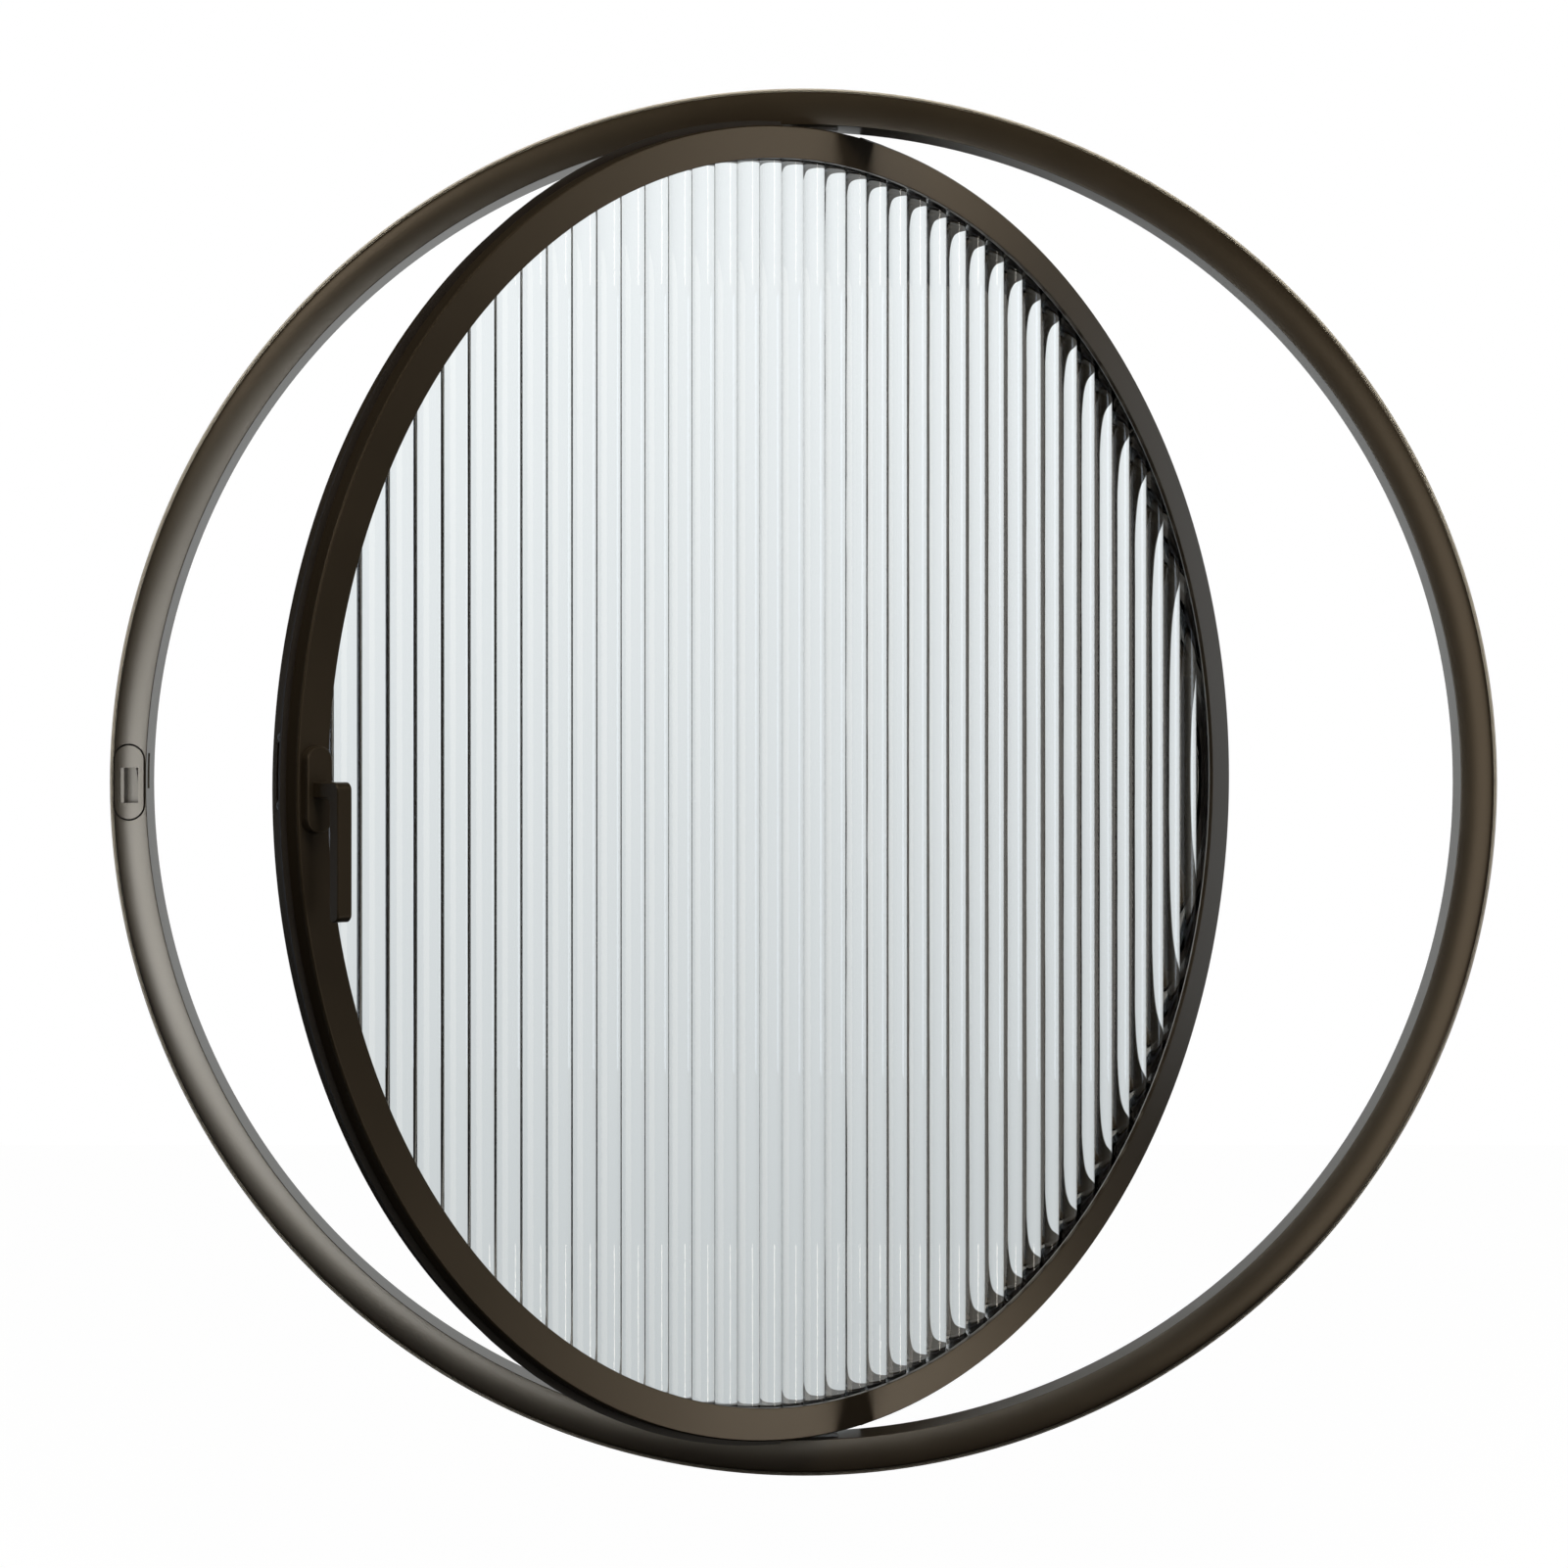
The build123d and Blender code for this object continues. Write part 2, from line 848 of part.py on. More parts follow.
fixed_parts = {
    "outer_frame": [make_outer_frame()],
    "wall_seal": [make_wall_seal()],
    "strike_plate": [make_strike_plate()],
    "strike_box": [make_strike_box()],
    "pivot_socket_top": [upper_socket],
    "pivot_socket_bottom": [lower_socket],
    "pivot_bush_top": [bush],
    "pivot_bush_bottom": [lower(bush)],
    "thrust_washer": [lower(make_washer())],
    "stop_pin": [make_stop_pin()],
    "fixing_straps": [around(make_strap(), angle) for angle in strap_angles],
}
sash_parts = {
    "sash_frame": [make_sash_frame()],
    "fluted_glass": [make_glass()],
    "front_gasket": [make_front_gasket()],
    "rear_gasket": [make_rear_gasket()],
    "glazing_bead": [make_bead()],
    "setting_blocks": make_setting_blocks(),
    "sash_seals": make_sash_seals(),
    "pivot_shoe_top": [make_shoe(True)],
    "pivot_shoe_bottom": [lower(make_shoe(False))],
    "pivot_pin_top": [pin],
    "pivot_pin_bottom": [lower(pin)],
    "latch_case": [make_latch_case()],
    "handle_base_plate": [make_base_plate()],
    "handle_cover": [make_cover()],
    "handle_lever": [make_lever()],
    "latch_spindle": [make_latch_spindle()],
    "grub_screw": [make_grub_screw()],
}

for node, pieces in fixed_parts.items():
    export_step(Compound(children=pieces), f"parts/{node}.step")
for node, pieces in sash_parts.items():
    turned = [opened(piece) for piece in pieces]
    export_step(Compound(children=turned), f"parts/{node}.step")
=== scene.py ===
import logging
import math
from dataclasses import dataclass
from enum import Enum
from itertools import product
from typing import Any, Callable, Iterable, Sequence

import bmesh
import bpy
from bpy.types import ID, Material, NodeSocket, NodeTree, Object
from mathutils import Matrix, Vector


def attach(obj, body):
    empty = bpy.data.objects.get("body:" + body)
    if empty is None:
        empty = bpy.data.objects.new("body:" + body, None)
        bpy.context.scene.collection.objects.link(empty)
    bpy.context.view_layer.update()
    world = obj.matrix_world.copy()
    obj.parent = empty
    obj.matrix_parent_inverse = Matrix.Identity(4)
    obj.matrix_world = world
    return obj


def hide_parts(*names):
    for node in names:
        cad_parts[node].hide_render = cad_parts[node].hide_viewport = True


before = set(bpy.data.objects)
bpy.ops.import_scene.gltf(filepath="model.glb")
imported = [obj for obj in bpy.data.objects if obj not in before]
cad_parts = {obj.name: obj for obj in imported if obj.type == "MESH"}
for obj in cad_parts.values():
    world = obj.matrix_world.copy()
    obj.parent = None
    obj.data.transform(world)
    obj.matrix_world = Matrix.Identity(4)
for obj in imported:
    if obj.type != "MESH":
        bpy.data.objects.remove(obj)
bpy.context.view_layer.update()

log = logging.getLogger("porthole_window")

Point = tuple[float, float]
Box = tuple[Point, Point, Point]
Colour = tuple[float, float, float]
Place = tuple[float, float, float]
Corner = tuple[float, float, float]
Seat = tuple[Vector, Vector]

WELD = 1e-6
CAD_WELD = 2e-6
FLAT_ANGLE = math.radians(1.0)
CREASE = math.radians(32)
CAD_ANGLE = math.radians(35)
ROUND_STEPS = 3
SENSOR_WIDTH = 36.0

# Turns (across, up, depth) into the window's x, z and y.
ACROSS_UP = Matrix(((1, 0, 0, 0), (0, 0, 1, 0), (0, 1, 0, 0), (0, 0, 0, 1)))


class Light(Enum):
    """What a lamp does on the window."""

    BOTH = "both"
    MATT = "matt"
    SHINE = "shine"


class Body(Enum):
    """Rigid bodies of the window."""

    FRAME = "frame"
    SASH = "sash"
    HANDLE = "handle"


class Slot(Enum):
    """Material slots of the record."""

    BRONZE = "bronze"
    STEEL = "steel"
    BUSH = "bush"
    BLOCK = "block"
    GLASS = "glass"
    GREY_RUBBER = "grey_rubber"
    BLACK_RUBBER = "black_rubber"
    CREAM = "cream"


def math_method(operation: str, swapped: bool = False) -> Callable[..., "Sock"]:
    """Makes a Sock method that adds a Math node.

    Args:
        operation: Math operation.
        swapped: True for an operator whose left side is a number.

    Returns:
        The method.
    """

    def method(self: "Sock", *others: Any) -> "Sock":
        """Adds the node and returns its output."""
        values = (*others, self) if swapped else (self, *others)
        return self.nodes.add("ShaderNodeMath", dict(enumerate(values)), operation=operation)

    return method


class Sock:
    """A node socket that takes part in Python arithmetic."""

    __add__ = math_method("ADD")
    __radd__ = math_method("ADD", swapped=True)
    __sub__ = math_method("SUBTRACT")
    __rsub__ = math_method("SUBTRACT", swapped=True)
    __mul__ = math_method("MULTIPLY")
    __truediv__ = math_method("DIVIDE")
    __gt__ = math_method("GREATER_THAN")
    __lt__ = math_method("LESS_THAN")
    root = math_method("SQRT")
    fraction = math_method("FRACT")
    least = math_method("MINIMUM")
    most = math_method("MAXIMUM")

    def __init__(self, nodes: "Nodes", socket: NodeSocket | None) -> None:
        """Wraps an output socket of a tree."""
        self.nodes = nodes
        self.socket = socket

    def part(self, axis: str) -> "Sock":
        """One coordinate of a vector."""
        return self.nodes.add("ShaderNodeSeparateXYZ", {0: self}, axis)


class Nodes:
    """Adds nodes to one shader or geometry tree."""

    def __init__(self, tree: NodeTree) -> None:
        """Keeps the tree to fill."""
        self.tree = tree

    def add(
        self,
        kind: str,
        inputs: dict[Any, Any] | None = None,
        output: int | str = 0,
        **settings: Any,
    ) -> Sock:
        """Adds one node.

        Args:
            kind: Node type.
            inputs: Values or sockets by input name or index.
            output: Output to return.
            settings: Properties, set before the sockets.

        Returns:
            The chosen output, or an empty holder for a node without outputs.
        """
        node = self.tree.nodes.new(kind)
        for key, value in settings.items():
            setattr(node, key, value)
        for key, value in (inputs or {}).items():
            if isinstance(value, Sock):
                self.tree.links.new(value.socket, node.inputs[key])
            else:
                node.inputs[key].default_value = value
        return Sock(self, node.outputs[output] if len(node.outputs) else None)

    def noise(self, scale: float, detail: float, stretch: Place = (1.0, 1.0, 1.0)) -> Sock:
        """Adds noise on Object coordinates.

        Args:
            scale: Cells in a metre.
            detail: Octaves.
            stretch: Factor on each axis.

        Returns:
            A value that varies about 0.5.
        """
        place = self.add("ShaderNodeTexCoord", output="Object")
        place = self.add("ShaderNodeMapping", {"Vector": place, "Scale": stretch})
        values = {"Vector": place, "Scale": scale, "Detail": detail}
        return self.add("ShaderNodeTexNoise", values)

    def blend(self, factor: Sock, low: Colour, high: Colour) -> Sock:
        """Mixes two colours: low where the factor is 0, high where it is 1."""
        values = {0: factor, 6: (*low, 1.0), 7: (*high, 1.0)}
        return self.add("ShaderNodeMix", values, output=2, data_type="RGBA")

    def bump(self, height: Sock, strength: float, distance: float) -> Sock:
        """Normal bumped by a height field, whose full range is a distance in metres."""
        values = {"Strength": strength, "Distance": distance, "Height": height}
        return self.add("ShaderNodeBump", values)

    def surface(self, shader: Sock) -> None:
        """Ends a material in its output node."""
        self.add("ShaderNodeOutputMaterial", {"Surface": shader})

    def principled(self, values: dict[str, Any]) -> None:
        """Ends a material in a Principled shader."""
        self.surface(self.add("ShaderNodeBsdfPrincipled", values))


def new_material(name: str) -> tuple[Material, Nodes]:
    """Makes an empty node material.

    Args:
        name: Material's name.

    Returns:
        The material and its node maker.
    """
    material = bpy.data.materials.new(name)
    material.use_nodes = True
    material.node_tree.nodes.clear()
    return material, Nodes(material.node_tree)


@dataclass(frozen=True)
class BronzeCoat:
    """Satin bronze-brown coating on aluminium, with fine metal flake.

    Here and below, a noise is its scale and octaves, a bump its strength and height.
    """

    name: str = "bronze_coat"
    deep: Colour = (0.056, 0.042, 0.026)
    warm: Colour = (0.086, 0.066, 0.042)
    metallic: float = 0.6
    roughness: float = 0.36
    coat_weight: float = 0.15
    coat_roughness: float = 0.25
    flake: Point = (2600.0, 2.0)
    flake_tone: float = 0.6
    flake_rough: float = 0.08
    flake_bump: Point = (0.12, 0.00006)
    cloud: Point = (7.0, 3.0)
    cloud_tone: float = 0.8
    cloud_rough: float = 0.10
    tone_drop: float = 0.2

    def material(self) -> Material:
        """Builds the coating.

        Returns:
            The material.
        """
        material, nodes = new_material(self.name)
        flake = nodes.noise(*self.flake)
        cloud = nodes.noise(*self.cloud)
        tone = flake * self.flake_tone + cloud * self.cloud_tone - self.tone_drop
        rough = self.roughness + (cloud - 0.5) * self.cloud_rough
        values = {
            "Base Color": nodes.blend(tone.least(1.0).most(0.0), self.deep, self.warm),
            "Metallic": self.metallic,
            "Roughness": rough + (flake - 0.5) * self.flake_rough,
            "Coat Weight": self.coat_weight,
            "Coat Roughness": self.coat_roughness,
            "Normal": nodes.bump(flake, *self.flake_bump),
        }
        nodes.principled(values)
        return material


@dataclass(frozen=True)
class PlainSteel:
    """Zinc-coated or stainless steel with a drawn grain."""

    name: str = "plain_steel"
    dark: Colour = (0.30, 0.30, 0.30)
    light: Colour = (0.52, 0.52, 0.51)
    roughness: float = 0.34
    grain_stretch: Place = (40.0, 40.0, 900.0)
    grain_tone: float = 0.6
    grain_rough: float = 0.2
    grain_bump: Point = (0.1, 0.00003)
    spangle: Point = (420.0, 1.0)

    def material(self) -> Material:
        """Builds the steel.

        Returns:
            The material.
        """
        material, nodes = new_material(self.name)
        grain = nodes.noise(1.0, 3.0, self.grain_stretch)
        spangle = nodes.noise(*self.spangle)
        tone = grain * self.grain_tone + spangle * (1.0 - self.grain_tone)
        values = {
            "Base Color": nodes.blend(tone, self.dark, self.light),
            "Metallic": 1.0,
            "Roughness": self.roughness + (grain - 0.5) * self.grain_rough,
            "Normal": nodes.bump(grain, *self.grain_bump),
        }
        nodes.principled(values)
        return material


@dataclass(frozen=True)
class Rubber:
    """Extruded rubber with a faint bloom and fine pores."""

    name: str
    dark: Colour
    light: Colour
    roughness: float = 0.62
    bloom: Point = (60.0, 4.0)
    pores: Point = (1800.0, 2.0)
    pore_rough: float = 0.2
    pore_bump: Point = (0.2, 0.0001)

    def material(self) -> Material:
        """Builds the rubber.

        Returns:
            The material.
        """
        material, nodes = new_material(self.name)
        bloom = nodes.noise(*self.bloom)
        pores = nodes.noise(*self.pores)
        values = {
            "Base Color": nodes.blend(bloom, self.dark, self.light),
            "Roughness": self.roughness + (pores - 0.5) * self.pore_rough,
            "Normal": nodes.bump(pores, *self.pore_bump),
        }
        nodes.principled(values)
        return material


@dataclass(frozen=True)
class MouldedPlastic(Rubber):
    """Bearing or packing plastic, built as the rubber is but smoother."""

    roughness: float = 0.42
    bloom: Point = (90.0, 3.0)
    pores: Point = (1400.0, 2.0)
    pore_rough: float = 0.15
    pore_bump: Point = (0.15, 0.00005)


@dataclass(frozen=True)
class RolledGlass:
    """Clear rolled glass with the slight waves of its making."""

    name: str = "rolled_glass"
    tint: Colour = (0.965, 0.985, 0.985)
    thin: Colour = (0.985, 0.995, 0.995)
    ior: float = 1.45
    wave_stretch: Place = (60.0, 60.0, 7.0)
    wave_rough: float = 0.02
    wave_bump: Point = (0.25, 0.0003)

    def material(self) -> Material:
        """Builds the glass.

        Returns:
            The material.
        """
        material, nodes = new_material(self.name)
        wave = nodes.noise(1.0, 2.0, self.wave_stretch)
        values = {
            "Base Color": nodes.blend(wave, self.tint, self.thin),
            "Roughness": (wave * self.wave_rough).most(0.0),
            "IOR": self.ior,
            "Transmission Weight": 1.0,
            "Normal": nodes.bump(wave, *self.wave_bump),
        }
        nodes.principled(values)
        return material


def build_palette() -> dict[Slot, Material]:
    """Builds every finish of the window once.

    Returns:
        The material of each slot.
    """
    finishes = {
        Slot.BRONZE: BronzeCoat(),
        Slot.STEEL: PlainSteel(),
        Slot.BUSH: MouldedPlastic("bearing_plastic", (0.62, 0.60, 0.54), (0.74, 0.72, 0.66)),
        Slot.BLOCK: MouldedPlastic("packing_plastic", (0.02, 0.02, 0.02), (0.04, 0.04, 0.04)),
        Slot.GLASS: RolledGlass(),
        Slot.GREY_RUBBER: Rubber("grey_rubber", (0.30, 0.31, 0.31), (0.42, 0.43, 0.43)),
        Slot.BLACK_RUBBER: Rubber("black_rubber", (0.016, 0.012, 0.009), (0.03, 0.024, 0.019)),
        Slot.CREAM: Rubber("cream_rubber", (0.68, 0.65, 0.57), (0.78, 0.75, 0.67)),
    }
    return {slot: finish.material() for slot, finish in finishes.items()}


def rounded(corners: Sequence[Corner], steps: int = 4) -> list[Point]:
    """Rounds the corners of a closed outline.

    Args:
        corners: Across, along and corner radius of each corner.
        steps: Straight pieces in each rounded corner.

    Returns:
        The outline's points.
    """
    points: list[Point] = []
    count = len(corners)
    for index, (x, y, radius) in enumerate(corners):
        here = Vector((x, y))
        if radius <= 0.0:
            points.append((x, y))
            continue
        before = (Vector(corners[index - 1][:2]) - here).normalized()
        after = (Vector(corners[(index + 1) % count][:2]) - here).normalized()
        half = before.angle(after) / 2
        reach = radius / math.tan(half)
        centre = here + (before + after).normalized() * (radius / math.sin(half))
        start = here + before * reach - centre
        turn = start.angle_signed(here + after * reach - centre)
        for step in range(steps + 1):
            spoke = start.copy()
            spoke.rotate(Matrix.Rotation(-turn * step / steps, 2))
            points.append(tuple(centre + spoke))
    return points


def plate_outline(length: float, width: float, steps: int = 24) -> list[Point]:
    """Upright round-ended outline, across and up, centred on the origin.

    Args:
        length: Overall height.
        width: Width, twice the radius of the ends.
        steps: Straight pieces in each end.

    Returns:
        The outline's points.
    """
    radius = width / 2
    rise = length / 2 - radius
    upper = [math.pi * step / steps for step in range(steps + 1)]
    points = [(radius * math.cos(a), rise + radius * math.sin(a)) for a in upper]
    return points + [(-x, -y) for x, y in points]


def new_object(name: str, data: ID) -> Object:
    """Links an object at the origin to the scene.

    Args:
        name: Object's name.
        data: Its mesh, lamp or camera.

    Returns:
        The object.
    """
    made = bpy.data.objects.new(name, data)
    bpy.context.scene.collection.objects.link(made)
    return made


def prism(name: str, outline: Sequence[Point], place: Matrix, depth: float) -> Object:
    """Makes a closed prism.

    Args:
        name: Object's name.
        outline: Across and up points of the front face.
        place: Matrix from (across, up, depth) to the window's frame.
        depth: Length of the prism along its third axis.

    Returns:
        The prism.
    """
    shape = bmesh.new()
    near = [shape.verts.new(place @ Vector((x, y, 0.0))) for x, y in outline]
    far = [shape.verts.new(place @ Vector((x, y, depth))) for x, y in outline]
    shape.faces.new(near)
    shape.faces.new(list(reversed(far)))
    for index in range(len(outline)):
        follow = (index + 1) % len(outline)
        shape.faces.new((near[follow], near[index], far[index], far[follow]))
    bmesh.ops.recalc_face_normals(shape, faces=shape.faces)
    mesh = bpy.data.meshes.new(name)
    shape.to_mesh(mesh)
    shape.free()
    return new_object(name, mesh)


def block(name: str, x: Point, y: Point, z: Point) -> Object:
    """Box between the low and high values of each axis."""
    outline = [(x[0], z[0]), (x[1], z[0]), (x[1], z[1]), (x[0], z[1])]
    return prism(name, outline, ACROSS_UP @ Matrix.Translation((0, 0, y[0])), y[1] - y[0])


def cut(target: Object, tools: Iterable[Object], operation: str = "DIFFERENCE") -> None:
    """Applies closed tools to a closed mesh, then removes them.

    Args:
        target: Object that is cut.
        tools: Cutters.
        operation: Boolean operation.
    """
    for tool in tools:
        modifier = target.modifiers.new("cut", "BOOLEAN")
        modifier.operation = operation
        modifier.solver = "EXACT"
        modifier.object = tool
        settle(target)
        bpy.data.objects.remove(tool)


def settle(target: Object) -> None:
    """Replaces an object's mesh by its evaluated one and drops its modifiers.

    Args:
        target: Object to settle.
    """
    evaluated = target.evaluated_get(bpy.context.evaluated_depsgraph_get())
    made = bpy.data.meshes.new_from_object(evaluated)
    made.name = target.name
    target.modifiers.clear()
    target.data = made


def round_edges(target: Object, width: float, angle: float) -> None:
    """Rounds an object's sharp edges.

    Args:
        target: Object to round.
        width: Width of the rounding in metres.
        angle: Angle above which an edge is rounded.
    """
    bevel = target.modifiers.new("round", "BEVEL")
    bevel.width = width
    bevel.segments = ROUND_STEPS
    bevel.limit_method = "ANGLE"
    bevel.angle_limit = angle
    settle(target)


def finish_mesh(target: Object, material: Material) -> None:
    """Merges, orients and shades a closed mesh, and gives it one material.

    Args:
        target: Object to finish.
        material: Its material.
    """
    mesh = target.data
    shape = bmesh.new()
    shape.from_mesh(mesh)
    bmesh.ops.remove_doubles(shape, verts=shape.verts, dist=WELD)
    bmesh.ops.recalc_face_normals(shape, faces=shape.faces)
    for face in shape.faces:
        face.smooth = True
        face.material_index = 0
    shape.to_mesh(mesh)
    shape.free()
    mesh.materials.clear()
    mesh.materials.append(material)
    mesh.set_sharp_from_angle(angle=CREASE)
    target.modifiers.new("weigh", "WEIGHTED_NORMAL").keep_sharp = True
    settle(target)


class GeometryTree:
    """A Geometry Nodes tree with named inputs, run once on an object."""

    def __init__(self, name: str, sizes: dict[str, float | int]) -> None:
        """Makes the tree and its sockets.

        Args:
            name: Tree's name.
            sizes: Named number inputs and their values.
        """
        self.tree = bpy.data.node_groups.new(name, "GeometryNodeTree")
        self.sizes = sizes
        face = self.tree.interface
        face.new_socket("Geometry", in_out="INPUT", socket_type="NodeSocketGeometry")
        kinds = {"Finish": "NodeSocketMaterial"}
        for key, value in sizes.items():
            kinds[key] = "NodeSocketInt" if isinstance(value, int) else "NodeSocketFloat"
        self.identifiers = {
            key: face.new_socket(key, in_out="INPUT", socket_type=kind).identifier
            for key, kind in kinds.items()
        }
        face.new_socket("Geometry", in_out="OUTPUT", socket_type="NodeSocketGeometry")
        self.nodes = Nodes(self.tree)
        self.entry = self.tree.nodes.new("NodeGroupInput")

    def input(self, name: str) -> Sock:
        """Socket of a named input."""
        return Sock(self.nodes, self.entry.outputs[name])

    def close(self, geometry: Sock) -> None:
        """Ends the tree in Realize Instances and Set Material."""
        real = self.nodes.add("GeometryNodeRealizeInstances", {"Geometry": geometry})
        values = {"Geometry": real, "Material": self.input("Finish")}
        self.nodes.add("NodeGroupOutput", {0: self.nodes.add("GeometryNodeSetMaterial", values)})

    def run(self, target: Object, material: Material) -> None:
        """Runs the tree on an object and keeps the result as its mesh.

        Args:
            target: Object whose mesh enters the tree.
            material: Value of the Finish input.
        """
        modifier = target.modifiers.new(self.tree.name, "NODES")
        modifier.node_group = self.tree
        for key, value in self.sizes.items():
            modifier[self.identifiers[key]] = value
        modifier[self.identifiers["Finish"]] = material
        settle(target)


@dataclass
class TurnedRing:
    """A ring of one section, turned about the window's axis."""

    name: str
    section: Sequence[Point]
    segments: int = 288

    def build(self, material: Material) -> Object:
        """Sweeps the section round a circle.

        Args:
            material: The ring's material.

        Returns:
            The ring, closed and centred on the origin.
        """
        radius = min(r for r, _ in self.section)
        mesh = bpy.data.meshes.new(self.name)
        count = len(self.section)
        corners = [(r - radius, -depth, 0.0) for r, depth in self.section]
        mesh.from_pydata(corners, [(i, (i + 1) % count) for i in range(count)], [])
        ring = new_object(self.name, mesh)
        tree = GeometryTree("turned_ring", {"Radius": radius, "Segments": self.segments})
        nodes = tree.nodes
        values = {"Radius": tree.input("Radius"), "Resolution": tree.input("Segments")}
        path = nodes.add("GeometryNodeCurvePrimitiveCircle", values)
        path = nodes.add("GeometryNodeSetCurveNormal", {"Curve": path}, mode="Z_UP")
        section = nodes.add("GeometryNodeMeshToCurve", {"Mesh": tree.input("Geometry")})
        values = {"Curve": path, "Profile Curve": section}
        tree.close(nodes.add("GeometryNodeCurveToMesh", values))
        tree.run(ring, material)
        ring.data.transform(Matrix.Rotation(-math.pi / 2, 4, "X"))
        return ring


@dataclass
class FlutedSheet:
    """A round pane with upright convex flutes on one face, shaped by a rule.

    whole_flutes keeps the count of flutes positive across the whole pane.
    """

    name: str
    radius: float
    pitch: float
    flute_height: float
    base: float
    crest: float
    columns_per_flute: int = 24
    whole_flutes: float = 64.0

    def build(self, material: Material) -> Object:
        """Bends a grid into the closed pane.

        Args:
            material: The pane's material.

        Returns:
            The pane in its closed place.
        """
        half_flutes = math.ceil(self.radius / self.pitch)
        sizes = {
            "Radius": self.radius,
            "Pitch": self.pitch,
            "Half Span": half_flutes * self.pitch,
            "Arc Radius": ((self.pitch / 2) ** 2 + self.flute_height**2) / (2 * self.flute_height),
            "Crest": self.crest,
            "Back": self.crest + self.flute_height + self.base,
            "Columns": 2 * half_flutes * self.columns_per_flute + 1,
        }
        tree = GeometryTree("fluted_sheet", sizes)
        nodes = tree.nodes
        values = {"Size X": 2.0, "Size Y": 4.0, "Vertices X": tree.input("Columns"), "Vertices Y": 5}
        grid = nodes.add("GeometryNodeMeshGrid", values)
        spot = nodes.add("GeometryNodeInputPosition")
        row = spot.part("Y")
        radius = tree.input("Radius")
        x = (spot.part("X") * tree.input("Half Span")).least(radius).most(radius * -1.0)
        half_chord = (radius * radius - x * x).most(0.0).root()
        # The rows -2 to 2 go round the section: 0 and 1 are its top, -1 and 0 its front.
        upper = (row > -0.5) * (row < 1.5)
        front = (row > -1.5) * (row < 0.5)
        arc = tree.input("Arc Radius")
        pitch = tree.input("Pitch")
        offset = ((x / pitch + self.whole_flutes).fraction() - 0.5) * pitch
        fluted = tree.input("Crest") + arc - (arc * arc - offset * offset).root()
        depth = front * fluted + (1.0 - front) * tree.input("Back")
        height = half_chord * (upper * 2.0 - 1.0)
        place = nodes.add("ShaderNodeCombineXYZ", {"X": x, "Y": depth, "Z": height})
        bent = nodes.add("GeometryNodeSetPosition", {"Geometry": grid, "Position": place})
        values = {"Geometry": bent, "Distance": WELD}
        tree.close(nodes.add("GeometryNodeMergeByDistance", values))
        pane = new_object(self.name, bpy.data.meshes.new(self.name))
        tree.run(pane, material)
        return pane


@dataclass
class ScrewHeads:
    """Low screw heads with a hexagonal recess, set on points and aimed outwards.

    recess_depth and recess_lift are measured in heights of the head.
    """

    name: str
    seats: Sequence[Seat]
    radius: float = 0.0033
    height: float = 0.0005
    crown: float = 0.86
    sides: int = 32
    recess: float = 0.0013
    recess_depth: float = 4.0
    recess_lift: float = 2.3

    def build(self, material: Material) -> Object:
        """Sets one head on each seat.

        Args:
            material: The heads' material.

        Returns:
            One mesh of all heads.
        """
        mesh = bpy.data.meshes.new(self.name)
        mesh.from_pydata([tuple(point) for point, _ in self.seats], [], [])
        aims = mesh.attributes.new("aim", "FLOAT_VECTOR", "POINT")
        for item, (_, aim) in zip(aims.data, self.seats):
            item.vector = aim
        heads = new_object(self.name, mesh)
        sizes = {"Radius": self.radius, "Height": self.height, "Recess": self.recess}
        tree = GeometryTree("screw_heads", sizes)
        nodes = tree.nodes
        rim = tree.input("Radius")
        height = tree.input("Height")
        values = {"Radius Top": rim * self.crown, "Radius Bottom": rim, "Depth": height}
        values["Vertices"] = self.sides
        crown = nodes.add("GeometryNodeMeshCone", values)
        depth = height * self.recess_depth
        values = {"Vertices": 6, "Radius": tree.input("Recess"), "Depth": depth}
        socket = nodes.add("GeometryNodeMeshCylinder", values)
        lift = nodes.add("ShaderNodeCombineXYZ", {"Z": height * self.recess_lift})
        values = {"Geometry": socket, "Translation": lift}
        socket = nodes.add("GeometryNodeTransform", values)
        values = {"Mesh 1": crown, "Mesh 2": socket}
        head = nodes.add("GeometryNodeMeshBoolean", values, operation="DIFFERENCE")
        values = {"Name": "aim"}
        aim = nodes.add("GeometryNodeInputNamedAttribute", values, data_type="FLOAT_VECTOR")
        turn = nodes.add("FunctionNodeAlignRotationToVector", {"Vector": aim}, axis="Z")
        values = {"Points": tree.input("Geometry"), "Instance": head, "Rotation": turn}
        tree.close(nodes.add("GeometryNodeInstanceOnPoints", values))
        tree.run(heads, material)
        return heads


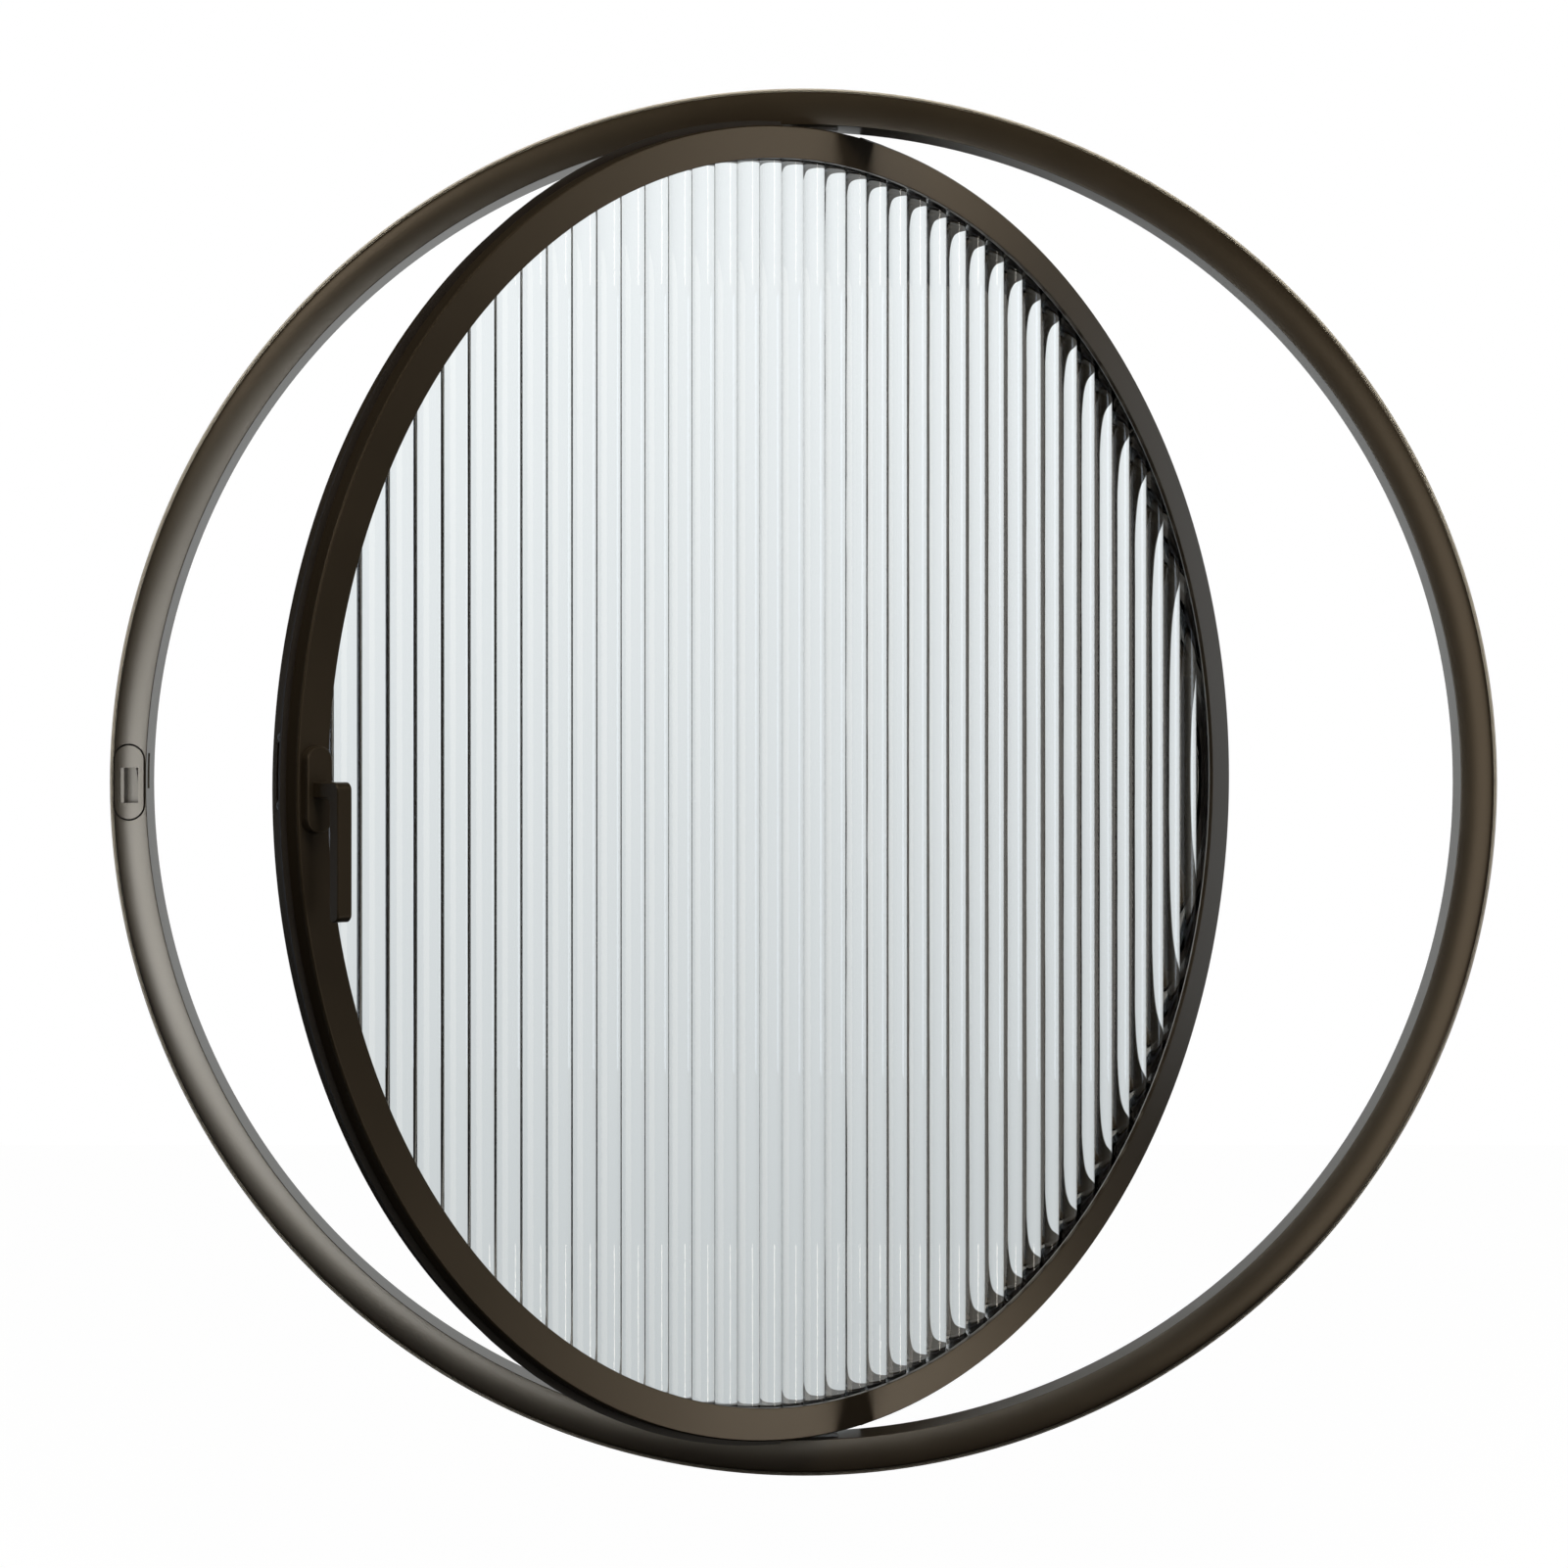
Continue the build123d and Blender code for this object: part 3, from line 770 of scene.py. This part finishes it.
class Maker:
    """What every sub-assembly uses to hand in its pieces."""

    def __init__(self, palette: dict[Slot, Material]) -> None:
        """Keeps the material of each slot."""
        self.palette = palette

    def ring(self, name: str, corners: Sequence[Corner], slot: Slot) -> Object:
        """Turned ring from the radius, depth and rounding of its section's corners."""
        return TurnedRing(name, rounded(corners)).build(self.palette[slot])

    def hand_in(self, piece: Object, body: Body, slot: Slot, stands_for: Sequence[str] = ()) -> None:
        """Finishes a piece and ties it to its body, slot and CAD nodes.

        Args:
            piece: The piece, in its place at rest.
            body: Body that it moves with.
            slot: Material slot.
            stands_for: CAD nodes that it replaces.
        """
        finish_mesh(piece, self.palette[slot])
        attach(piece, body.value)
        if stands_for:
            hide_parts(*stands_for)
        log.info("%s: %d faces on %s", piece.name, len(piece.data.polygons), body.value)

    def soften(self, node: str, body: Body, slot: Slot, width: float) -> None:
        """Stands a copy with rounded edges in for a CAD node.

        Args:
            node: CAD node.
            body: Its body.
            slot: Its material slot.
            width: Width of the rounding in metres.
        """
        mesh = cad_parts[node].data.copy()
        piece = new_object(f"{node}_soft", mesh)
        shape = bmesh.new()
        shape.from_mesh(mesh)
        bmesh.ops.remove_doubles(shape, verts=shape.verts, dist=CAD_WELD)
        bmesh.ops.dissolve_limit(shape, angle_limit=FLAT_ANGLE, verts=shape.verts, edges=shape.edges)
        shape.to_mesh(mesh)
        shape.free()
        round_edges(piece, width, CAD_ANGLE)
        self.hand_in(piece, body, slot, [node])

    def dress(self, nodes: Iterable[str], slot: Slot) -> None:
        """Gives CAD nodes that stay their material.

        Args:
            nodes: CAD nodes.
            slot: Material slot.
        """
        for node in nodes:
            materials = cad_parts[node].data.materials
            materials.clear()
            materials.append(self.palette[slot])
            log.info("%s: CAD piece, %s", node, slot.value)


@dataclass
class OuterFrame:
    """The bent ring in the wall, with its sealing ring, strike and straps."""

    maker: Maker
    radius: float = 0.600
    reveal: float = 0.571
    edge: float = -0.005
    crown: float = 0.002
    flange_back: float = -0.002
    barrel: float = 0.594
    rebate: float = 0.59185
    rebate_front: float = 0.019
    back: float = 0.030
    seal_groove: float = 0.0006
    seal_outer: float = 0.6032
    seal_lip: float = 0.0012
    plate_length: float = 0.0640
    plate_width: float = 0.0250
    plate_gap: float = 0.0015
    plate_seat: float = -0.004
    recess_floor: float = -0.003
    # Front of the black strip in the strike plate's gap, which is painted shadow
    shadow_strip_front: float = -0.0049
    reveal_round: float = 0.0008
    edge_round: float = 0.0030
    seal_round: float = 0.0009
    seal_step: float = 0.0002
    small_round: float = 0.0002
    plate_round: float = 0.0005
    plate_angle: float = math.radians(40)
    fit: float = 0.00005
    overcut: float = 0.01
    plate_window: Box = ((-0.5934, -0.5776), (-0.02, 0.0), (-0.0179, 0.0126))
    box_hole: Box = ((-0.5917, -0.5737), (-0.01, 0.0118), (-0.0201, 0.0280))
    cam_slot: Box = ((-0.5745, -0.5650), (0.0015, 0.0095), (-0.0055, 0.0253))

    def face_curve(self, steps: int = 14) -> list[Corner]:
        """Corners along the crowned face, from the reveal to the outer edge.

        Args:
            steps: Straight pieces in the crown; the last two are one, for the edge's rounding.

        Returns:
            Radius, depth and corner radius of each point.
        """
        half = (self.radius - self.reveal) / 2
        bend = (half**2 + self.crown**2) / (2 * self.crown)
        middle = self.reveal + half
        points = []
        for step in [*range(steps - 1), steps]:
            across = -half + 2 * half * step / steps
            rise = math.sqrt(bend**2 - across**2) - (bend - self.crown)
            points.append((middle + across, self.edge - rise, 0.0))
        points[0] = (*points[0][:2], self.reveal_round)
        points[-1] = (*points[-1][:2], self.edge_round)
        return points

    def build(self) -> None:
        """Makes the ring, the sealing ring and the strike plate, and dresses the rest."""
        maker = self.maker
        groove, back, lip = self.barrel - self.seal_groove, self.flange_back, self.seal_lip
        rest = [
            (self.radius, back, 0.0003),
            (groove, back, 0.0),
            (groove, 0.0, 0.0),
            (self.barrel, 0.0, 0.0002),
            (self.barrel, self.rebate_front, 0.0003),
            (self.rebate, self.rebate_front, 0.0002),
            (self.rebate, self.back, 0.0005),
            (self.reveal, self.back, 0.0008),
        ]
        ring = maker.ring("frame_ring", self.face_curve() + rest, Slot.BRONZE)
        recess = self.plate_form("recess", self.plate_gap, self.edge - self.overcut, self.recess_floor)
        box_hole = block("box_hole", *self.box_hole)
        cut(ring, [recess, box_hole, block("cam_slot", *self.cam_slot)])
        maker.hand_in(ring, Body.FRAME, Slot.BRONZE, ["outer_frame"])
        corners = [
            (groove + self.fit, back, 0.0),
            (self.radius - lip, back, 0.0002),
            (self.radius, back + lip, 0.0002),
            (self.radius + lip, back + lip, 0.0002),
            (self.radius + lip + self.seal_step, back, 0.0002),
            (self.seal_outer, back, self.seal_round),
            (self.seal_outer, 0.0, self.seal_round),
            (groove + self.fit, 0.0, 0.0),
        ]
        seal = maker.ring("wall_sealing_ring", corners, Slot.CREAM)
        maker.hand_in(seal, Body.FRAME, Slot.CREAM, ["wall_seal"])
        maker.hand_in(self.strike_plate(), Body.FRAME, Slot.BRONZE, ["strike_plate"])
        # The black strip round the strike plate is painted shadow in the plate's gap
        maker.hand_in(self.strike_shadow_strip(), Body.FRAME, Slot.BLACK_RUBBER)
        maker.soften("strike_box", Body.FRAME, Slot.BRONZE, self.small_round)
        maker.soften("fixing_straps", Body.FRAME, Slot.STEEL, self.small_round)

    def plate_form(self, name: str, spread: float, front: float, back: float) -> Object:
        """Prism with the strike plate's outline.

        Args:
            name: Object's name.
            spread: Distance that it stands outside the plate's edge.
            front: Depth of its front.
            back: Depth of its back.

        Returns:
            The prism.
        """
        middle = -(self.reveal + self.radius) / 2
        outline = plate_outline(self.plate_length + 2 * spread, self.plate_width + 2 * spread)
        place = ACROSS_UP @ Matrix.Translation((middle, 0.0, front))
        return prism(name, outline, place, back - front)

    def strike_shadow_strip(self) -> Object:
        """Thin black strip at the foot of the gap round the strike plate: painted shadow that darkens
        the plate's outline.

        Returns:
            The painted shadow strip in the recess.
        """
        spread = self.plate_gap - self.fit
        # The gasket here is the black strip of painted shadow in the plate's gap
        gasket = self.plate_form("strike_shadow_strip", spread, self.shadow_strip_front, self.recess_floor)
        room = self.plate_form("plate_room", self.fit, -2 * self.overcut, 2 * self.overcut)
        cut(gasket, [room])
        return gasket

    def strike_plate(self) -> Object:
        """Plate cut from the same crowned form, with its latch window.

        Returns:
            The plate in its recess.
        """
        corners = [(r, depth, 0.0) for r, depth, _ in self.face_curve()]
        corners += [(r, self.plate_seat, 0.0) for r in (self.radius, self.reveal)]
        plate = self.maker.ring("strike_plate_crowned", corners, Slot.BRONZE)
        front = self.edge - self.overcut
        form = self.plate_form("plate_form", 0.0, front, front + 2 * self.overcut)
        cut(plate, [form], "INTERSECT")
        cut(plate, [block("window", *self.plate_window)])
        round_edges(plate, self.plate_round, self.plate_angle)
        return plate


@dataclass
class Sash:
    """The bent ring that turns, with its pane, gaskets, bead and seals."""

    maker: Maker
    rest: Matrix
    outer: float = 0.565
    inner: float = 0.537
    front: float = -0.0175
    back: float = 0.0145
    chamfer: float = 0.0012
    web: float = 0.544
    lip_back: float = -0.0135
    glass_radius: float = 0.542
    crest: float = -0.0115
    flute_height: float = 0.0045
    flute_pitch: float = 0.0262
    glass_base: float = 0.0055
    bead_front: float = 0.0005
    bead_chamfer: float = 0.003
    gasket_inner: float = 0.538
    fit: float = 0.00005
    # Pockets of the upper and the lower pivot shoe, seat and body of the latch case
    pockets: tuple[Box, ...] = (
        ((-0.0222, 0.0222), (0.0005, 0.03), (0.557, 0.58)),
        ((-0.0222, 0.0222), (0.0005, 0.03), (-0.58, -0.557)),
        ((-0.58, -0.5625), (0.0009, 0.0101), (-0.0157, 0.0437)),
        ((-0.57, -0.5497), (0.0009, 0.0101), (-0.0089, 0.0369)),
    )

    def hand_in(self, piece: Object, slot: Slot, node: str) -> None:
        """Turns a piece of the closed sash to its place at rest and hands it in."""
        piece.data.transform(self.rest)
        self.maker.hand_in(piece, Body.SASH, slot, [node])

    def build(self) -> None:
        """Makes every piece that turns with the sash, but for the handle."""
        maker = self.maker
        web = self.web - self.fit
        corners = [
            (self.inner, self.front, 0.0006),
            (self.outer - self.chamfer, self.front, 0.0006),
            (self.outer, self.front + self.chamfer, 0.0006),
            (self.outer, self.back, 0.0008),
            (self.web, self.back, 0.0003),
            (self.web, self.lip_back, 0.0002),
            (self.inner, self.lip_back, 0.0004),
        ]
        ring = maker.ring("sash_ring", corners, Slot.BRONZE)
        cut(ring, [block("pocket", *pocket) for pocket in self.pockets])
        self.hand_in(ring, Slot.BRONZE, "sash_frame")
        corners = [
            (self.inner, self.bead_front, 0.0003),
            (web, self.bead_front, 0.0003),
            (web, self.back, 0.0003),
            (self.inner + self.bead_chamfer, self.back, 0.0006),
            (self.inner, self.back - self.bead_chamfer, 0.0006),
        ]
        bead = maker.ring("glazing_bead_ring", corners, Slot.BRONZE)
        self.hand_in(bead, Slot.BRONZE, "glazing_bead")
        glass_back = self.crest + self.flute_height + self.glass_base
        crest = self.crest - self.fit
        self.gasket("front_gasket", self.lip_back, crest, Slot.GREY_RUBBER)
        self.gasket("rear_gasket", glass_back + self.fit, self.bead_front, Slot.BLACK_RUBBER)
        flutes = (self.flute_pitch, self.flute_height)
        sheet = FlutedSheet("fluted_pane", self.glass_radius, *flutes, self.glass_base, self.crest)
        self.hand_in(sheet.build(maker.palette[Slot.GLASS]), Slot.GLASS, "fluted_glass")
        maker.dress(["sash_seals"], Slot.BLACK_RUBBER)
        maker.dress(["setting_blocks"], Slot.BLOCK)

    def gasket(self, node: str, front: float, back: float, slot: Slot) -> None:
        """Makes one glazing gasket.

        Args:
            node: CAD node that it stands for.
            front: Depth of its front.
            back: Depth of its back.
            slot: Material slot.
        """
        web = self.web - self.fit
        corners = [
            (self.gasket_inner, front, 0.0005),
            (web, front, 0.0002),
            (web, back, 0.0002),
            (self.gasket_inner, back, 0.0005),
        ]
        self.hand_in(self.maker.ring(f"{node}_ring", corners, slot), slot, node)


@dataclass
class Hardware:
    """Pivots, latch, handle and the screws that show."""

    maker: Maker
    rest: Matrix
    socket_plate: float = 0.5684
    socket_screw_x: float = 0.023
    socket_screw_y: float = 0.0162
    shoe_top: float = 0.564
    shoe_screw_x: float = 0.0165
    shoe_screw_y: float = 0.0045
    strap_count: int = 6
    strap_face: float = 0.5937
    strap_screw_y: float = 0.0246
    sash_rim: float = 0.565
    case_screw_y: float = 0.0055
    case_screw_heights: Point = (-0.0115, 0.0395)
    softened: tuple[tuple[str, Body, Slot, float], ...] = (
        ("handle_lever", Body.HANDLE, Slot.BRONZE, 0.0009),
        ("handle_cover", Body.SASH, Slot.BRONZE, 0.0004),
        ("pivot_socket_top", Body.FRAME, Slot.STEEL, 0.0003),
        ("pivot_socket_bottom", Body.FRAME, Slot.STEEL, 0.0003),
        ("pivot_shoe_top", Body.SASH, Slot.STEEL, 0.0002),
        ("pivot_shoe_bottom", Body.SASH, Slot.STEEL, 0.0002),
        ("latch_case", Body.SASH, Slot.BRONZE, 0.0002),
    )

    def build(self) -> None:
        """Rounds and dresses the small pieces and sets the screws."""
        maker = self.maker
        for piece in self.softened:
            maker.soften(*piece)
        maker.dress(["pivot_pin_top", "pivot_pin_bottom", "stop_pin"], Slot.STEEL)
        maker.dress(["handle_base_plate", "latch_spindle", "grub_screw"], Slot.STEEL)
        maker.dress(["pivot_bush_top", "pivot_bush_bottom", "thrust_washer"], Slot.BUSH)
        steel = maker.palette[Slot.STEEL]
        heads = ScrewHeads("frame_screw_heads", self.frame_seats()).build(steel)
        maker.hand_in(heads, Body.FRAME, Slot.STEEL)
        heads = ScrewHeads("sash_screw_heads", self.sash_seats()).build(steel)
        heads.data.transform(self.rest)
        maker.hand_in(heads, Body.SASH, Slot.STEEL)

    def frame_seats(self) -> list[Seat]:
        """Seats of the socket and strap screws.

        Returns:
            Point and outward direction of each screw.
        """
        seats = []
        height = math.sqrt(self.socket_plate**2 - self.socket_screw_x**2)
        for side, end in product((-1, 1), repeat=2):
            point = Vector((side * self.socket_screw_x, self.socket_screw_y, end * height))
            seats.append((point, Vector((0, 0, -end))))
        for index in range(self.strap_count):
            angle = 2 * math.pi * index / self.strap_count
            aim = Vector((math.cos(angle), 0.0, math.sin(angle)))
            point = aim * self.strap_face + Vector((0, self.strap_screw_y, 0))
            seats.append((point, aim))
        return seats

    def sash_seats(self) -> list[Seat]:
        """Seats of the shoe and latch case screws, with the sash closed.

        Returns:
            Point and outward direction of each screw.
        """
        seats = []
        for side, end in product((-1, 1), repeat=2):
            point = Vector((side * self.shoe_screw_x, self.shoe_screw_y, end * self.shoe_top))
            seats.append((point, Vector((0, 0, end))))
        for height in self.case_screw_heights:
            across = math.sqrt(self.sash_rim**2 - height**2)
            seats.append((Vector((-across, self.case_screw_y, height)), Vector((-1, 0, 0))))
        return seats


@dataclass(frozen=True)
class Softbox:
    """A large soft lamp."""

    name: str
    place: Place
    target: Place
    size: Point
    power: float
    colour: Colour = (1.0, 1.0, 1.0)
    effect: Light = Light.BOTH
    only: tuple[str, ...] = ()

    def build(self) -> None:
        """Makes the lamp, and links it to the pieces that it alone lights, if any are named."""
        lamp = bpy.data.lights.new(self.name, "AREA")
        lamp.shape = "RECTANGLE"
        lamp.size, lamp.size_y = self.size
        lamp.energy = self.power
        lamp.color = self.colour
        made = new_object(self.name, lamp)
        made.location = self.place
        aim = Vector(self.target) - Vector(self.place)
        made.rotation_euler = aim.to_track_quat("-Z", "Y").to_euler()
        made.visible_camera = False
        made.visible_diffuse = self.effect is not Light.SHINE
        made.visible_glossy = self.effect is not Light.MATT
        made.visible_transmission = False
        if self.only:
            lit = bpy.data.collections.new(f"{self.name}_lights")
            for name in self.only:
                lit.objects.link(bpy.data.objects[name])
            made.light_linking.receiver_collection = lit


@dataclass(frozen=True)
class Studio:
    """Floor, daylight behind the window, a dim room in front, lamps and camera."""

    floor_height: float = -1.25
    floor_size: float = 14.0
    floor_glow: float = 0.985
    distance: float = 2.676
    face_depth: float = -0.005
    eye_height: float = 0.042
    lens: float = 70.75
    shift: Point = (-0.0124, -0.032)
    card_depth: float = 1.2
    card_across: Point = (-0.86, 0.82)
    card_up: Point = (-1.2, 1.6)
    sky: Colour = (0.95, 0.985, 1.0)
    sea: Colour = (0.56, 0.59, 0.60)
    room: Colour = (0.050, 0.045, 0.040)
    depths: Colour = (0.014, 0.012, 0.010)
    dim_slope: float = 1.0
    rise_slope: float = 0.6
    rise_middle: float = 0.6
    grey: Colour = (0.1, 0.1, 0.1)
    white: Colour = (1.0, 1.0, 1.0)
    flag_grey: Colour = (0.02, 0.02, 0.02)
    flag_radii: Point = (0.607, 2.607)
    flag_depths: Point = (0.003, 0.006)
    flag_segments: int = 96

    def build(self) -> None:
        """Makes the stage."""
        self.floor()
        self.world()
        self.daylight()
        self.flag()
        for softbox in self.softboxes():
            softbox.build()
        self.camera()

    def softboxes(self) -> list[Softbox]:
        """Lamps of the stage.

        Returns:
            A key high in front, a fill high on the left, and lamps that only shine: in the
            left and right of the frame's face, and in the sash's face and right rim.
        """
        warm = (1.0, 0.93, 0.82)
        cool = (0.77, 0.87, 1.0)
        face = ("frame_ring", "strike_plate_crowned", "strike_box_soft")
        middle = (0.0, 0.0, 0.0)
        left, right = (-0.6, 0.0, -0.1), (0.6, 0.0, -0.1)
        top, bottom = (0.0, 0.0, 0.55), (0.0, 0.0, -0.55)
        shine = Light.SHINE
        rows = [
            ("key_softbox", (0.3, -1.8, 2.6), middle, (1.8, 1.2), 58.0, warm, Light.MATT),
            ("fill_softbox", (-1.5, -2.4, 1.6), middle, (0.9, 0.9), 9.0, warm),
            ("left_shine", (-0.58, -1.2, -0.16), left, (0.85, 0.55), 16.0, cool, shine, face),
            ("ring_shine", (1.35, -1.85, -0.3), right, (1.1, 2.2), 14.0, warm, shine),
            ("top_shine", (1.5, 0.0, 0.85), top, (0.3, 0.4), 2.2, warm, shine),
            ("low_shine", (1.5, 0.0, -0.85), bottom, (0.3, 0.4), 2.5, warm, shine),
            ("right_shine", (1.5, 0.6, 0.1), right, (0.4, 1.1), 2.5, cool, shine),
            ("rim_shine", (-1.8, 0.28, 0.0), (0.38, 0.38, 0.0), (0.5, 1.8), 14.0, cool, shine),
        ]
        return [Softbox(*row) for row in rows]

    def card(self, name: str, corners: Sequence[Place], material: Material) -> Object:
        """Makes a flat card of the stage.

        Args:
            name: Object's name.
            corners: Its four corners in turn.
            material: Its material.

        Returns:
            The card.
        """
        mesh = bpy.data.meshes.new(name)
        mesh.from_pydata(corners, [], [(0, 1, 2, 3)])
        mesh.materials.append(material)
        card = new_object(name, mesh)
        return card

    def floor(self) -> None:
        """Makes the plain pale floor."""
        material, nodes = new_material("floor")
        matt = nodes.add("ShaderNodeBsdfDiffuse", {"Color": (*self.grey, 1.0)})
        values = {"Color": (*self.white, 1.0), "Strength": self.floor_glow}
        glow = nodes.add("ShaderNodeEmission", values)
        bright = nodes.add("ShaderNodeAddShader", {0: matt, 1: glow})
        seen = self.pale_for(nodes, nodes.add("ShaderNodeTexCoord", output="Object"))
        nodes.surface(nodes.add("ShaderNodeMixShader", {0: seen, 1: matt, 2: bright}))
        half = self.floor_size / 2
        corners = [(-half, -half), (half, -half), (half, half), (-half, half)]
        self.card("floor", [(x, y, self.floor_height) for x, y in corners], material)

    def pale_for(self, nodes: Nodes, place: Sock) -> Sock:
        """Picks the rays that see the background white.

        Args:
            nodes: Node tree of the background.
            place: Point or direction that the ray meets.

        Returns:
            One for camera rays, and for rays straight through the pane that don't go backwards
            within dim_slope of the window's axis.
        """
        seen = nodes.add("ShaderNodeLightPath", output="Is Camera Ray")
        through = nodes.add("ShaderNodeLightPath", output="Is Transmission Ray")
        bounces = nodes.add("ShaderNodeLightPath", output="Glossy Depth")
        across = place.part("X")
        aside = across.most(across * -1.0) - place.part("Y") * self.dim_slope
        return seen.most(through * (bounces < 0.5) * (aside > 0.0))

    def daylight(self) -> None:
        """Makes the pale backdrop that glass and metal show, behind the opening."""
        material, nodes = new_material("daylight_card")
        height = nodes.add("ShaderNodeTexCoord", output="Object").part("Z")
        rise = (height * self.rise_slope + self.rise_middle).least(1.0).most(0.0)
        colour = nodes.blend(rise, self.sea, self.sky)
        nodes.surface(nodes.add("ShaderNodeEmission", {"Color": colour}))
        low, high = self.card_across
        foot, head = self.card_up
        corners = [(low, foot), (high, foot), (high, head), (low, head)]
        corners = [(x, self.card_depth, z) for x, z in corners]
        card = self.card("daylight_card", corners, material)
        card.visible_camera = False
        card.visible_diffuse = False

    def flag(self) -> None:
        """Makes the dark flag that keeps the daylight off the frame's outer edge."""
        material, nodes = new_material("light_flag")
        nodes.surface(nodes.add("ShaderNodeBsdfDiffuse", {"Color": (*self.flag_grey, 1.0)}))
        inner, outer = self.flag_radii
        front, back = self.flag_depths
        section = [(inner, front), (outer, front), (outer, back), (inner, back)]
        flag = TurnedRing("light_flag", section, self.flag_segments).build(material)
        flag.visible_camera = False
        flag.visible_diffuse = False
        flag.visible_shadow = False

    def world(self) -> None:
        """Makes the white background for the camera and the dim room for all else."""
        world = bpy.data.worlds.new("studio")
        world.use_nodes = True
        world.node_tree.nodes.clear()
        nodes = Nodes(world.node_tree)
        seen = self.pale_for(nodes, nodes.add("ShaderNodeTexCoord", output="Generated"))
        matt = nodes.add("ShaderNodeLightPath", output="Is Diffuse Ray")
        colour = nodes.blend(matt, self.depths, self.room)
        values = {0: seen, 6: colour, 7: (*self.white, 1.0)}
        colour = nodes.add("ShaderNodeMix", values, output=2, data_type="RGBA")
        glow = nodes.add("ShaderNodeBackground", {"Color": colour})
        nodes.add("ShaderNodeOutputWorld", {"Surface": glow})
        bpy.context.scene.world = world

    def camera(self) -> None:
        """Makes the camera at the photograph's place."""
        data = bpy.data.cameras.new("camera")
        data.lens = self.lens
        data.sensor_width = SENSOR_WIDTH
        data.shift_x, data.shift_y = self.shift
        camera = new_object("camera", data)
        camera.location = (0.0, self.face_depth - self.distance, self.eye_height)
        camera.rotation_euler = (math.pi / 2, 0.0, 0.0)
        bpy.context.scene.camera = camera


@dataclass(frozen=True)
class RestPlace:
    """Where the open sash stands: its swing about the upright pivots."""

    opening: float = math.radians(45.0)
    pivot_depth: float = 0.019

    def matrix(self) -> Matrix:
        """Matrix from the closed sash to the sash at rest."""
        out = Matrix.Translation((0.0, self.pivot_depth, 0.0))
        return out @ Matrix.Rotation(self.opening, 4, "Z") @ out.inverted()


def main() -> None:
    """Builds the window and its stage."""
    logging.basicConfig(level=logging.INFO, format="%(name)s: %(message)s")
    bpy.context.scene.view_settings.view_transform = "Standard"
    rest = RestPlace().matrix()
    maker = Maker(build_palette())
    OuterFrame(maker).build()
    Sash(maker, rest).build()
    Hardware(maker, rest).build()
    Studio().build()


if __name__ == "__main__":
    main()
